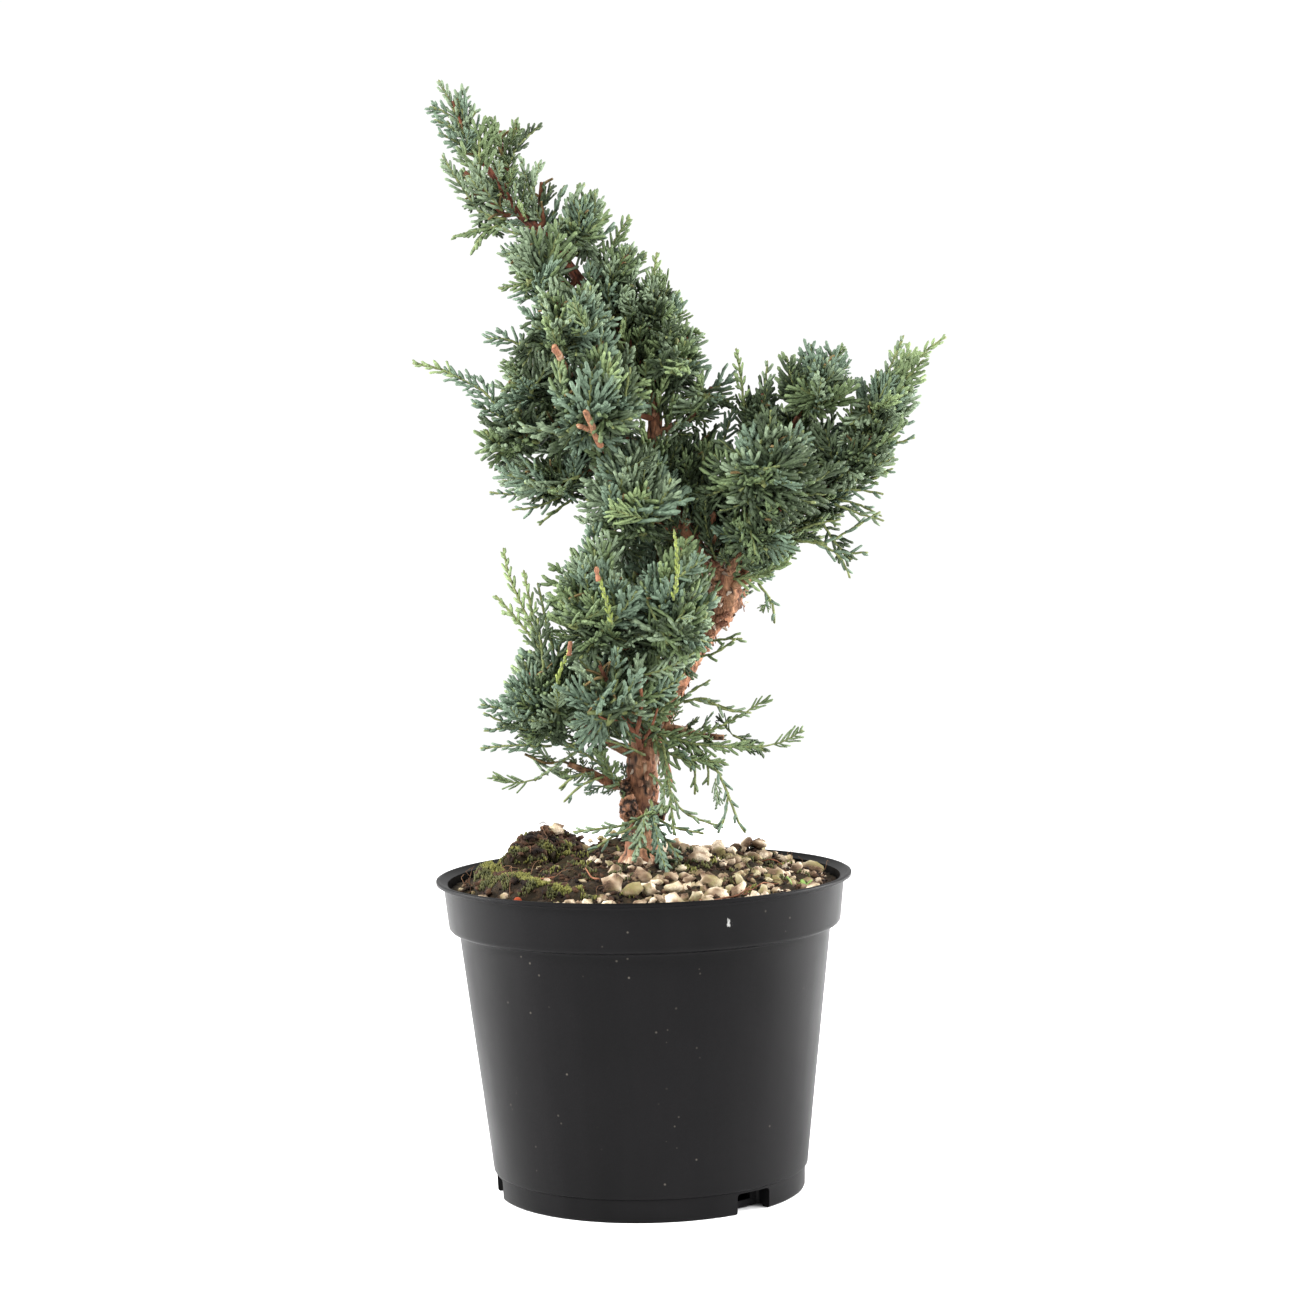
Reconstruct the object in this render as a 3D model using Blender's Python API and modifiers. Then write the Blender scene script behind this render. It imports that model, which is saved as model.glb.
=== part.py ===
"""A small trained juniper in a round nursery pot.

The trunk rises from a mound of soil, swings right to a gnarled knuckle, doubles back left through
the crown and ends in a leaning leader. Boughs leave it at the bends, and each carries masses of
foliage. Every mass is one stem with twigs and leaf sprays that branch from it by a seeded rule.

Units are metres and +Z is up. The origin is the middle of the pot's flat underside.
"""

import math
import random

import bmesh
import bpy
from mathutils import Matrix, Vector
from mathutils.bvhtree import BVHTree

MM = 0.001
GAP = 0.3 * MM  # clearance between neighbouring pieces
SEED = 41

# ---------------------------------------------------------------- driving sizes, in millimetres
POT_HEIGHT = 145.0
RIM_RADIUS = 95.0
RIM_LIP = 2.0  # height of the thin lip
COLLAR_TOP_RADIUS = 91.6
COLLAR_FOOT_RADIUS = 89.6
COLLAR_FOOT_HEIGHT = 122.0
BODY_TOP_RADIUS = 84.6
BODY_TOP_HEIGHT = 117.5
BODY_FOOT_RADIUS = 72.1
BODY_FOOT_HEIGHT = 11.0
FOOT_RADIUS = 70.6
WALL = 1.8
FLOOR = 2.6
POT_STEPS = 32

DRAIN_ANGLES = (-50.0, 70.0, 190.0)  # round the foot, from +X towards +Y
DRAIN_WIDTH = 19.0
DRAIN_HEIGHT = 9.4
DRAIN_DEPTH = 8.0  # how far the notch runs in from the foot's outer face
DRAIN_WALL = 2.2
DRAIN_SLOT = (9.0, 4.0)  # width and height of the hole in the notch's back wall

SOIL_EDGE_HEIGHT = 141.0
SOIL_CENTRE_HEIGHT = 151.5
SOIL_RINGS = (85.0, 75.0, 64.0, 52.0, 40.0, 28.0, 12.0)
HEAP_HEIGHT = 1.2  # how far the pumice lies heaped on the soil
HEAP_BUMP = 1.7  # and how far its bumps rise and fall
HEAP_SPACING = 19.0

MOSS_STEPS = 7
# each cushion of moss: where its arc starts and ends, in degrees, its radius from the middle,
# its half width and its height
MOSS = {
    "moss_ridge": (172.0, 246.0, 71.0, 10.0, 10.0),
    "moss_lump": (126.0, 172.0, 60.0, 15.0, 19.0),
}

# each bend of the trunk: across, back, height, radius
TRUNK_BENDS = (
    (-0.3, 0.0, 152.2, 9.6),
    (-0.2, 0.0, 157.0, 7.6),
    (0.0, 0.5, 178.0, 7.1),
    (2.0, 1.5, 203.0, 7.3),
    (11.0, 3.0, 223.5, 6.7),
    (21.0, 5.0, 240.0, 5.9),
    (31.5, 5.5, 255.5, 5.7),
    (40.3, 4.0, 268.5, 7.5),
    (39.5, 1.0, 279.5, 7.6),
    (30.5, -2.0, 287.5, 5.8),
    (24.0, -4.0, 297.0, 4.8),
    (14.5, -4.5, 315.0, 4.1),
    (7.2, -3.0, 332.0, 3.5),
    (10.2, 0.0, 349.0, 3.2),
    (8.6, 2.5, 362.0, 3.1),
    (-3.5, 4.0, 389.5, 2.9),
    (-20.0, 2.0, 412.5, 2.6),
    (-36.0, -1.0, 434.0, 2.3),
    (-49.5, -3.0, 447.0, 1.9),
    (-57.5, -4.0, 459.5, 1.6),
    (-65.0, -4.0, 470.5, 1.2),
)
TRUNK_SPAN_STEPS = 2
BOUGH_SPAN_STEPS = 1

# the knob left where a low branch was sawn off: height on the trunk, length, radius
CUT_KNOB = (175.0, 2.5, 4.2)
CUT_KNOB_AIM = (-0.55, -0.8, 0.1)

# each bough: the trunk height that it leaves at, its root and tip radius, and its bends
BOUGHS = {
    "right_front_bough": (279.0, 2.8, 2.0, ((45, -11, 286), (54, -14, 297), (62, -18, 308))),
    "right_top_bough": (284.0, 2.8, 1.8, ((44, 9, 297), (55, 12, 315), (66, 11, 335))),
    "right_tip_bough": (269.0, 3.0, 1.8, ((54, 6, 281), (64, 3, 295), (79, 3, 311), (94, 3, 326))),
    "right_back_bough": (264.0, 2.5, 1.6, ((46, 19, 275), (55, 25, 294), (63, 29, 314))),
    "right_low_bough": (261.0, 2.4, 1.4, ((51, -4, 270), (58, -8, 284), (72, -9, 296))),
    "column_bough": (289.0, 2.0, 1.3, ((34, 7, 298), (31, 8, 308), (29, 7, 316))),
    "crown_left_bough": (311.0, 2.4, 1.4, ((4, -9, 311), (-7, -8, 316), (-14, -7, 325))),
    "crown_right_bough": (344.0, 1.9, 1.3, ((16, -1, 348), (22, -2, 350))),
    "mid_front_bough": (228.0, 3.0, 1.7, ((7, -9, 233), (-1, -16, 242), (-6, -21, 252))),
    "lower_left_bough": (197.0, 2.6, 1.5, ((-9, -4, 203), (-20, -9, 210), (-29, -13, 217))),
    "low_left_bough": (184.0, 2.8, 1.3, ((-13, -3, 187), (-24, -6, 193), (-33, -8, 197))),
    "low_right_bough": (212.0, 2.4, 1.3, ((17, -3, 211), (28, -5, 208), (38, -6, 207))),
    "hanging_bough": (206.5, 2.0, 1.2, ((8, -11, 203), (12, -16, 194), (13, -18, 186))),
}

# each mass: what carries it, where (a height on the trunk, or a share of a bough's length),
# its heart, its reach along, across and deep, and how far it leans right of upright, in degrees
TIP = 1.0
MASSES = {
    "leader_tip": ("trunk", TIP, (-74, -4, 488), (23, 9, 10), -22),
    "leader_right": ("trunk", 458, (-51, 1, 475), (20, 14, 14), 25),
    "leader_left": ("trunk", 449, (-65, -7, 453), (24, 17, 16), -24),
    "leader_mid": ("trunk", 439, (-40, 2, 453), (21, 12, 14), 5),
    "crest_right_high": ("trunk", 426, (-22, 1, 440), (21, 15, 16), 10),
    "crest_right_low": ("trunk", 405, (-5, 0, 417), (21, 13, 18), 12),
    "crest_left": ("trunk", 417, (-44, -8, 426), (25, 18, 18), -20),
    "crown_right_high": ("trunk", 385, (11, 3, 401), (20, 13, 21), 0),
    "crown_right": ("trunk", 368, (24, 0, 384), (19, 15, 25), 20),
    "crown_right_low": ("crown_right_bough", TIP, (32, -2, 360), (17, 11, 18), 75),
    "crown_front_high": ("trunk", 380, (-26, -23, 397), (20, 23, 20), 0),
    "crown_front": ("trunk", 352, (-17, -30, 362), (27, 24, 20), 0),
    "crown_left_high": ("trunk", 370, (-49, -8, 376), (20, 18, 23), -20),
    "crown_left": ("trunk", 340, (-55, -6, 349), (19, 22, 25), -30),
    "crown_left_low": ("crown_left_bough", TIP, (-37, -6, 325), (27, 14, 21), -80),
    "column_front": ("trunk", 306, (-1, -22, 318), (28, 20, 18), 0),
    "column_right": ("column_bough", TIP, (27, 6, 327), (26, 16, 17), 8),
    "mid_front_left": ("mid_front_bough", TIP, (-19, -27, 272), (32, 25, 23), -14),
    "mid_front_right": ("trunk", 236, (15, -27, 268), (29, 21, 22), 10),
    "lower_left": ("lower_left_bough", TIP, (-46, -18, 229), (26, 23, 24), 0),
    "lower_front": ("trunk", 211, (-13, -32, 234), (25, 24, 22), 0),
    "low_left": ("low_left_bough", TIP, (-43, -11, 198), (22, 12, 14), -80),
    "low_right": ("low_right_bough", TIP, (47, -6, 213), (26, 15, 15), 80),
    "hanging_right": ("low_right_bough", 0.75, (40, -14, 180), (19, 10, 9), 155),
    "hanging_front": ("hanging_bough", TIP, (14, -20, 174), (14, 12, 9), 180),
    "base_shoot": ("trunk", 166, (1, -22, 160), (20, 9, 12), 90),
    "right_front": ("right_front_bough", TIP, (61, -26, 329), (29, 23, 21), 80),
    "right_top": ("right_top_bough", TIP, (84, 3, 368), (22, 17, 22), 12),
    "right_top_left": ("right_top_bough", 0.8, (58, 2, 361), (17, 12, 19), -8),
    "right_tip": ("right_tip_bough", TIP, (114, 4, 358), (30, 16, 22), 35),
    "right_tip_low": ("right_tip_bough", 0.85, (105, -5, 329), (22, 16, 18), 60),
    "right_droop": ("right_low_bough", TIP, (93, -8, 301), (23, 12, 12), 120),
    "right_low": ("right_low_bough", 0.72, (59, -23, 298), (20, 17, 16), 50),
    "knuckle_sprig": ("trunk", 262, (57, -9, 268), (13, 7, 8), 95),
    "crown_back_high": ("trunk", 378, (-12, 25, 388), (22, 23, 20), 0),
    "crown_back": ("trunk", 333, (-25, 27, 350), (24, 28, 22), 0),
    "mid_back": ("trunk", 262, (6, 28, 276), (30, 28, 22), 0),
    "lower_back": ("trunk", 211, (-16, 24, 225), (22, 28, 20), 0),
    "right_back": ("right_back_bough", TIP, (74, 34, 336), (26, 27, 20), 0),
}

# long single shoots that stand out past their mass: the tip of each
SHOOTS = {
    "crown_left_high": ((-99, -8, 379),),
    "right_tip": ((143, 2, 381), (124, 0, 380)),
    "mid_front_left": ((-57, -24, 297), (-56, -26, 284)),
    "low_left": ((-66, -10, 190),),
    "low_right": ((76, -6, 208), (60, -8, 222)),
    "hanging_right": ((51, -16, 171),),
    "right_droop": ((94, -8, 279),),
    "base_shoot": ((24, -26, 156), (-22, -27, 160)),
}

# the few masses so open that they have no core
OPEN = (
    "low_left",
    "low_right",
    "hanging_right",
    "hanging_front",
    "base_shoot",
    "right_droop",
    "knuckle_sprig",
)
CORE_SHARE = 0.62  # of the space, between its tufts
TUFT_SHARE = 0.95
CORE_UNEVENNESS = 0.14
CORE_STEP = 0.03
CORE_CLEARANCE = 0.9  # between a core and a limb
LEAST_CORE = 0.2
CORE_DRAW_IN = 0.94
TUFT_SWEEP = 0.22  # how far a tuft's tip leans towards the mass's top
SMALL_SPACE = 20.2  # the mean reach below which a core has fewer tufts

STEM_RADIUS = (1.5, 1.1)  # at the foot and at the end
STEM_SPAN_STEPS = 2
STEM_SET_OUT = 0.3  # how far a stem keeps its first heading, as a share of the way to the heart
STEM_RISE = 0.35
STEM_BEYOND = 0.55  # how far past the heart a stem goes, as a share of the space
STALK_RADIUS = (0.9, 0.75)
# half the outline of a spray, root to tip: (share of its length, share of its half width)
SPRAY_OUTLINE = (
    (0.0, 0.0),
    (0.5, 1.0),
    (0.54, 0.42),
    (0.8, 0.72),
    (0.8, 0.22),
    (1.0, 0.0),
)
SPRAY_MIDDLE = 0.4
SPRAY_HALF_WIDTH = 0.36  # of its length
SPRAY_HALF_THICKNESS = 0.045  # of its length
SPRAY_LENGTH = (15.0, 36.0)
SPRAY_ROOT_DEPTH = 0.72  # how deep in a core its sprays are rooted, as a share of the core
SPRAY_SWEEP = 0.4  # how far a spray's root lies back towards the stem's foot
STALK_OVERLAP = 4.0  # how far a spray's root is sunk in its stalk
SHOOT_SLIMNESS = 0.4  # how wide a long shoot's spray is, against the others
SHORTEST_REACH = 0.64  # of the way to its place on the outside
REACH_STEP = 0.06
SPRAY_CLEARANCE = 0.48  # round a spray when it is tried for room
TWIG_AREA = 2640.0  # square millimetres of a mass's surface for each twig
OPEN_TWIG_AREA = 590.0
FEWEST_TWIGS = 3
GOLDEN_ANGLE = math.radians(137.508)

BARK = (0.235, 0.118, 0.078)
FOLIAGE = (0.095, 0.19, 0.14)
FOLIAGE_SHADES = 0.25
FINISHES = {
    "nursery_pot": ((0.012, 0.012, 0.013), 0.42),
    "soil_and_pumice": ((0.075, 0.05, 0.034), 0.95),
    "moss": ((0.13, 0.17, 0.03), 0.95),
}


# ---------------------------------------------------------------- scene and shared helpers
for old in list(bpy.data.objects):
    bpy.data.objects.remove(old, do_unlink=True)


def new_collection(name):
    made = bpy.data.collections.new(name)
    bpy.context.scene.collection.children.link(made)
    return made


plant = new_collection("trained_juniper")
cutters = new_collection("cutters")


def give_finish(piece, colour, roughness):
    finish = bpy.data.materials.new(piece.name + "_finish")
    finish.use_nodes = True
    shader = finish.node_tree.nodes["Principled BSDF"]
    shader.inputs["Base Color"].default_value = (*colour, 1.0)
    shader.inputs["Roughness"].default_value = roughness
    finish.diffuse_color = (*colour, 1.0)
    piece.data.materials.clear()
    piece.data.materials.append(finish)


def object_from(name, shape, group):
    """A bmesh made into an object of the group."""
    bmesh.ops.recalc_face_normals(shape, faces=shape.faces)
    mesh = bpy.data.meshes.new(name)
    shape.to_mesh(mesh)
    shape.free()
    piece = bpy.data.objects.new(name, mesh)
    group.objects.link(piece)
    return piece


def as_cutter(piece):
    for group in list(piece.users_collection):
        group.objects.unlink(piece)
    cutters.objects.link(piece)
    piece.hide_render = True
    piece.display_type = "WIRE"
    return piece


def apply_modifiers(piece):
    """The piece's mesh as its modifiers leave it, with loose doubles welded."""
    bpy.context.view_layer.update()
    seen = piece.evaluated_get(bpy.context.evaluated_depsgraph_get())
    mesh = bpy.data.meshes.new_from_object(seen)
    shape = bmesh.new()
    shape.from_mesh(mesh)
    bmesh.ops.remove_doubles(shape, verts=shape.verts, dist=0.001 * MM)
    shape.to_mesh(mesh)
    shape.free()
    piece.modifiers.clear()
    piece.data = mesh
    return piece


def triangulate(piece):
    """Settles how bent faces fold, so that pieces cut to this one fit it."""
    shape = bmesh.new()
    shape.from_mesh(piece.data)
    bmesh.ops.triangulate(shape, faces=shape.faces)
    shape.to_mesh(piece.data)
    shape.free()


def boolean(piece, operation, operand=None, group=None, solver="EXACT"):
    step = piece.modifiers.new(operation.lower(), "BOOLEAN")
    step.operation = operation
    step.solver = solver
    if group is None:
        step.object = operand
    else:
        step.operand_type = "COLLECTION"
        step.collection = group
    return step


def keep_main_body(piece):
    """Drops loose scraps and sealed hollows: only the largest closed shell stays."""
    shape = bmesh.new()
    shape.from_mesh(piece.data)
    shells = []
    unseen = set(shape.faces)
    while unseen:
        shell = []
        edge_of_search = [unseen.pop()]
        while edge_of_search:
            face = edge_of_search.pop()
            shell.append(face)
            for edge in face.edges:
                for other in edge.link_faces:
                    if other in unseen:
                        unseen.remove(other)
                        edge_of_search.append(other)
        shells.append(shell)
    shells.sort(key=lambda faces: sum(face.calc_area() for face in faces))
    spare = [face for faces in shells[:-1] for face in faces]
    bmesh.ops.delete(shape, geom=spare, context="FACES")
    shape.to_mesh(piece.data)
    shape.free()
    return piece


def is_closed(piece):
    shape = bmesh.new()
    shape.from_mesh(piece.data)
    closed = all(edge.is_manifold for edge in shape.edges)
    shape.free()
    return closed


def turned(name, profile, group):
    """A profile of (radius, height) in millimetres, turned round the Z axis."""
    shape = bmesh.new()
    points = [shape.verts.new((radius * MM, 0.0, height * MM)) for radius, height in profile]
    for first, second in zip(points, points[1:]):
        shape.edges.new((first, second))
    mesh = bpy.data.meshes.new(name)
    shape.to_mesh(mesh)
    shape.free()
    piece = bpy.data.objects.new(name, mesh)
    group.objects.link(piece)
    screw = piece.modifiers.new("turn", "SCREW")
    screw.steps = POT_STEPS
    screw.render_steps = POT_STEPS
    screw.use_merge_vertices = True
    screw.merge_threshold = 0.01 * MM
    return piece


def block(name, angle, inner, outer, width, low, high, group):
    """A box that lies along a radius at the given angle; sizes in millimetres."""
    shape = bmesh.new()
    bmesh.ops.create_cube(shape, size=1.0)
    bmesh.ops.scale(shape, vec=((outer - inner) * MM, width * MM, (high - low) * MM), verts=shape.verts)
    middle = Vector(((inner + outer) / 2, 0.0, (low + high) / 2)) * MM
    bmesh.ops.translate(shape, vec=middle, verts=shape.verts)
    turn = Matrix.Rotation(math.radians(angle), 3, "Z")
    bmesh.ops.rotate(shape, cent=(0, 0, 0), matrix=turn, verts=shape.verts)
    return object_from(name, shape, group)


def tube(name, points, radii, group, sides_step):
    """A tapering tube on a poly curve, capped and made a mesh."""
    curve = bpy.data.curves.new(name, "CURVE")
    curve.dimensions = "3D"
    curve.bevel_depth = MM
    curve.bevel_resolution = sides_step
    curve.use_fill_caps = True
    run = curve.splines.new("POLY")
    run.points.add(len(points) - 1)
    for place, point, radius in zip(run.points, points, radii):
        place.co = (*point, 1.0)
        place.radius = radius / MM
    piece = bpy.data.objects.new(name, curve)
    group.objects.link(piece)
    bpy.context.view_layer.update()
    seen = piece.evaluated_get(bpy.context.evaluated_depsgraph_get())
    shape = bmesh.new()
    shape.from_mesh(bpy.data.meshes.new_from_object(seen))
    bmesh.ops.remove_doubles(shape, verts=shape.verts, dist=0.001 * MM)
    bpy.data.objects.remove(piece, do_unlink=True)
    return object_from(name, shape, group)


def along_curve(values, share, span):
    """A Catmull-Rom reading of the values, at a share of the span that starts at index `span`."""
    before = values[max(span - 1, 0)]
    start = values[span]
    end = values[span + 1]
    after = values[min(span + 2, len(values) - 1)]
    return 0.5 * (
        2 * start
        + (end - before) * share
        + (2 * before - 5 * start + 4 * end - after) * share**2
        + (3 * start - before - 3 * end + after) * share**3
    )


def smooth_run(values, steps):
    """The values read along a smooth curve, with `steps` points for each span."""
    run = []
    for span in range(len(values) - 1):
        run += [along_curve(values, step / steps, span) for step in range(steps)]
    run.append(values[-1])
    return run


class Limb:
    """A tapering limb: its points, its radii, and how to find a place on it."""

    def __init__(self, name, bends, radii, steps):
        self.name = name
        self.points = smooth_run(bends, steps)
        self.radii = smooth_run(radii, steps)

    def at_share(self, share):
        lengths = [(b - a).length for a, b in zip(self.points, self.points[1:])]
        left = share * sum(lengths)
        for index, length in enumerate(lengths):
            if left <= length or index == len(lengths) - 1:
                part = min(left / length, 1.0)
                return self.between(index, part)
            left -= length

    def at_height(self, height):
        for index, (low, high) in enumerate(zip(self.points, self.points[1:])):
            if low.z <= height <= high.z:
                return self.between(index, (height - low.z) / (high.z - low.z))
        return self.between(len(self.points) - 2, 1.0)

    def between(self, index, part):
        start, end = self.points[index], self.points[index + 1]
        radius = self.radii[index] * (1 - part) + self.radii[index + 1] * part
        return start.lerp(end, part), (end - start).normalized(), radius

    def solid(self, group, sides_step, swell=0.0):
        radii = [radius + swell for radius in self.radii]
        return tube(self.name, self.points, radii, group, sides_step)


# ---------------------------------------------------------------- the pot and what fills it
def pot():
    lip_in = RIM_RADIUS - 2.0
    floor_radius = FOOT_RADIUS - WALL
    profile = (
        (0.0, FLOOR),
        (floor_radius, FLOOR),
        (BODY_FOOT_RADIUS - WALL, BODY_FOOT_HEIGHT),
        (BODY_TOP_RADIUS - WALL, COLLAR_FOOT_HEIGHT - 0.5),
        (COLLAR_FOOT_RADIUS - WALL, COLLAR_FOOT_HEIGHT + WALL),
        (COLLAR_TOP_RADIUS - WALL, POT_HEIGHT - RIM_LIP),
        (lip_in, POT_HEIGHT),
        (RIM_RADIUS - 0.6, POT_HEIGHT),
        (RIM_RADIUS, POT_HEIGHT - 0.6),
        (RIM_RADIUS, POT_HEIGHT - RIM_LIP),
        (COLLAR_TOP_RADIUS, POT_HEIGHT - RIM_LIP - 0.8),
        (COLLAR_FOOT_RADIUS, COLLAR_FOOT_HEIGHT + 2.0),
        (COLLAR_FOOT_RADIUS - 0.8, COLLAR_FOOT_HEIGHT),
        (BODY_TOP_RADIUS + 0.6, COLLAR_FOOT_HEIGHT - 0.9),
        (BODY_TOP_RADIUS, BODY_TOP_HEIGHT),
        (BODY_FOOT_RADIUS, BODY_FOOT_HEIGHT),
        (FOOT_RADIUS + 0.7, BODY_FOOT_HEIGHT - 0.6),
        (FOOT_RADIUS, 0.8),
        (FOOT_RADIUS - 0.8, 0.0),
        (0.0, 0.0),
    )
    piece = turned("nursery_pot", profile, plant)
    housings = new_collection("drain_housings")
    notches = new_collection("drain_notches")
    back = FOOT_RADIUS - DRAIN_DEPTH
    for angle in DRAIN_ANGLES:
        housing = block(
            "drain_housing",
            angle,
            back - DRAIN_WALL,
            FOOT_RADIUS - 1.2,
            DRAIN_WIDTH + 2 * DRAIN_WALL,
            FLOOR - 1.0,
            DRAIN_HEIGHT + DRAIN_WALL,
            housings,
        )
        notch = block(
            "drain_notch", angle, back, RIM_RADIUS, DRAIN_WIDTH, -FLOOR, DRAIN_HEIGHT, notches
        )
        slot_low = FLOOR + 1.2
        slot = block(
            "drain_slot",
            angle,
            back - 2 * DRAIN_WALL,
            back + DRAIN_WALL,
            DRAIN_SLOT[0],
            slot_low,
            slot_low + DRAIN_SLOT[1],
            notches,
        )
        for guide in (housing, notch, slot):
            guide.hide_render = True
            guide.display_type = "WIRE"
    boolean(piece, "UNION", group=housings)
    boolean(piece, "DIFFERENCE", group=notches)
    apply_modifiers(piece)
    for group in (housings, notches):
        for guide in list(group.objects):
            bpy.data.objects.remove(guide, do_unlink=True)
        bpy.data.collections.remove(group)
    return piece


def ease(value, low, high):
    """0 below low, 1 above high, and a smooth rise between."""
    share = min(max((value - low) / (high - low), 0.0), 1.0)
    return share * share * (3 - 2 * share)


def ground_height(across, back):
    """The height of the soil's top, in metres, at a place given in metres."""
    x, y = across / MM, back / MM
    radius = math.hypot(x, y)
    mound = 1 - ease(radius, 10.0, SOIL_RINGS[0])
    height = SOIL_EDGE_HEIGHT + (SOIL_CENTRE_HEIGHT - SOIL_EDGE_HEIGHT) * mound
    swell = math.sin(x * 0.09 + 1.3) * math.cos(y * 0.11 - 0.4) + 0.6 * math.sin(x * 0.21 - y * 0.17)
    turn = math.tau / HEAP_SPACING
    bump = math.sin(x * turn + 0.6 * math.sin(y * 0.07)) * math.sin(y * turn + 0.8)
    heap = HEAP_HEIGHT + 1.1 * swell + HEAP_BUMP * bump
    return (height + heap * ease(radius, 11.0, 30.0) * (1 - ease(radius, 76.0, 87.0))) * MM


def soil():
    inner = WALL + GAP / MM
    top = SOIL_CENTRE_HEIGHT
    outer = [
        (COLLAR_TOP_RADIUS - inner - 1.0, top),
        (COLLAR_FOOT_RADIUS - inner, COLLAR_FOOT_HEIGHT + WALL + 0.2),
        (BODY_TOP_RADIUS - inner, COLLAR_FOOT_HEIGHT - 0.3),
        (BODY_FOOT_RADIUS - inner, BODY_FOOT_HEIGHT + 0.4),
        (FOOT_RADIUS - inner - 0.3, FLOOR + GAP / MM),
        (0.0, FLOOR + GAP / MM),
    ]
    surface = [(0.0, top)] + [(radius, top) for radius in reversed(SOIL_RINGS)]
    piece = turned("soil_and_pumice", surface + outer, plant)
    apply_modifiers(piece)
    for vertex in piece.data.vertices:
        if vertex.co.z > (top - 1.0) * MM:
            vertex.co.z = ground_height(vertex.co.x, vertex.co.y)
    triangulate(piece)
    pockets = new_collection("drain_pockets")
    back = FOOT_RADIUS - DRAIN_DEPTH - DRAIN_WALL
    clear = 0.5
    for angle in DRAIN_ANGLES:
        width = DRAIN_WIDTH + 2 * (DRAIN_WALL + clear)
        high = DRAIN_HEIGHT + DRAIN_WALL + clear
        block("drain_pocket", angle, back - clear, RIM_RADIUS, width, -FLOOR, high, pockets)
    boolean(piece, "DIFFERENCE", group=pockets)
    apply_modifiers(piece)
    for guide in list(pockets.objects):
        bpy.data.objects.remove(guide, do_unlink=True)
    bpy.data.collections.remove(pockets)
    return keep_main_body(piece)


def moss(soil_piece):
    """Cushions of moss that lie on the soil, each cut to the ground under it."""
    lifted = soil_piece.copy()
    lifted.data = soil_piece.data.copy()
    lifted.name = "lifted_soil"
    cutters.objects.link(lifted)
    as_cutter(lifted)
    for vertex in lifted.data.vertices:
        vertex.co.z += GAP
    for name, (start, end, radius, width, height) in MOSS.items():
        points = []
        widths = []
        for step in range(MOSS_STEPS):
            share = step / (MOSS_STEPS - 1)
            angle = math.radians(start + (end - start) * share)
            place = Vector((math.cos(angle), math.sin(angle), 0.0)) * radius * MM
            place.z = ground_height(place.x, place.y)
            points.append(place)
            widths.append(width * MM * (0.45 + 0.55 * math.sin(math.pi * share)))
        cushion = tube(name, points, widths, plant, 1)
        base = sum(point.z for point in points) / MOSS_STEPS
        for vertex in cushion.data.vertices:
            vertex.co.z = base + (vertex.co.z - base) * height / width
        triangulate(cushion)
        boolean(cushion, "DIFFERENCE", operand=lifted)
        apply_modifiers(cushion)
        keep_main_body(cushion)
        give_finish(cushion, *FINISHES["moss"])
    bpy.data.objects.remove(lifted, do_unlink=True)


# ---------------------------------------------------------------- trunk and boughs
def grow_trunk():
    bends = [Vector(bend[:3]) * MM for bend in TRUNK_BENDS]
    radii = [bend[3] * MM for bend in TRUNK_BENDS]
    return Limb("trunk", bends, radii, TRUNK_SPAN_STEPS)


def trunk_solid(trunk):
    """The trunk with the knob of its sawn branch fused on."""
    piece = trunk.solid(plant, 2)
    height, length, radius = CUT_KNOB
    centre, _, trunk_radius = trunk.at_height(height * MM)
    shape = bmesh.new()
    bmesh.ops.create_cone(
        shape,
        cap_ends=True,
        segments=7,
        radius1=radius * MM,
        radius2=radius * 0.7 * MM,
        depth=(length + trunk_radius / MM) * MM,
    )
    bmesh.ops.translate(shape, vec=(0, 0, (length * MM + trunk_radius) / 2), verts=shape.verts)
    aim = Vector(CUT_KNOB_AIM).to_track_quat("Z", "Y").to_matrix()
    bmesh.ops.rotate(shape, cent=(0, 0, 0), matrix=aim, verts=shape.verts)
    bmesh.ops.translate(shape, vec=centre, verts=shape.verts)
    knob = object_from("knob", shape, cutters)
    boolean(piece, "UNION", operand=knob)
    apply_modifiers(piece)
    bpy.data.objects.remove(knob, do_unlink=True)
    return keep_main_body(piece)


def grow_boughs(trunk):
    boughs = {}
    for name, (height, root_radius, tip_radius, bends) in BOUGHS.items():
        root, _, _ = trunk.at_height(height * MM)
        points = [root] + [Vector(bend) * MM for bend in bends]
        last = len(points) - 1
        radii = [(root_radius + (tip_radius - root_radius) * i / last) * MM for i in range(last + 1)]
        boughs[name] = Limb(name, points, radii, BOUGH_SPAN_STEPS)
    return boughs


def bough_solids(trunk, boughs):
    """Each bough, cut where it meets the trunk so that the two lie a gap apart."""
    bark = as_cutter(trunk.solid(plant, 2, swell=GAP))
    for bough in boughs.values():
        piece = bough.solid(plant, 1)
        boolean(piece, "DIFFERENCE", operand=bark)
        apply_modifiers(piece)
        give_finish(keep_main_body(piece), BARK, 0.85)
    bpy.data.objects.remove(bark, do_unlink=True)


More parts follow.
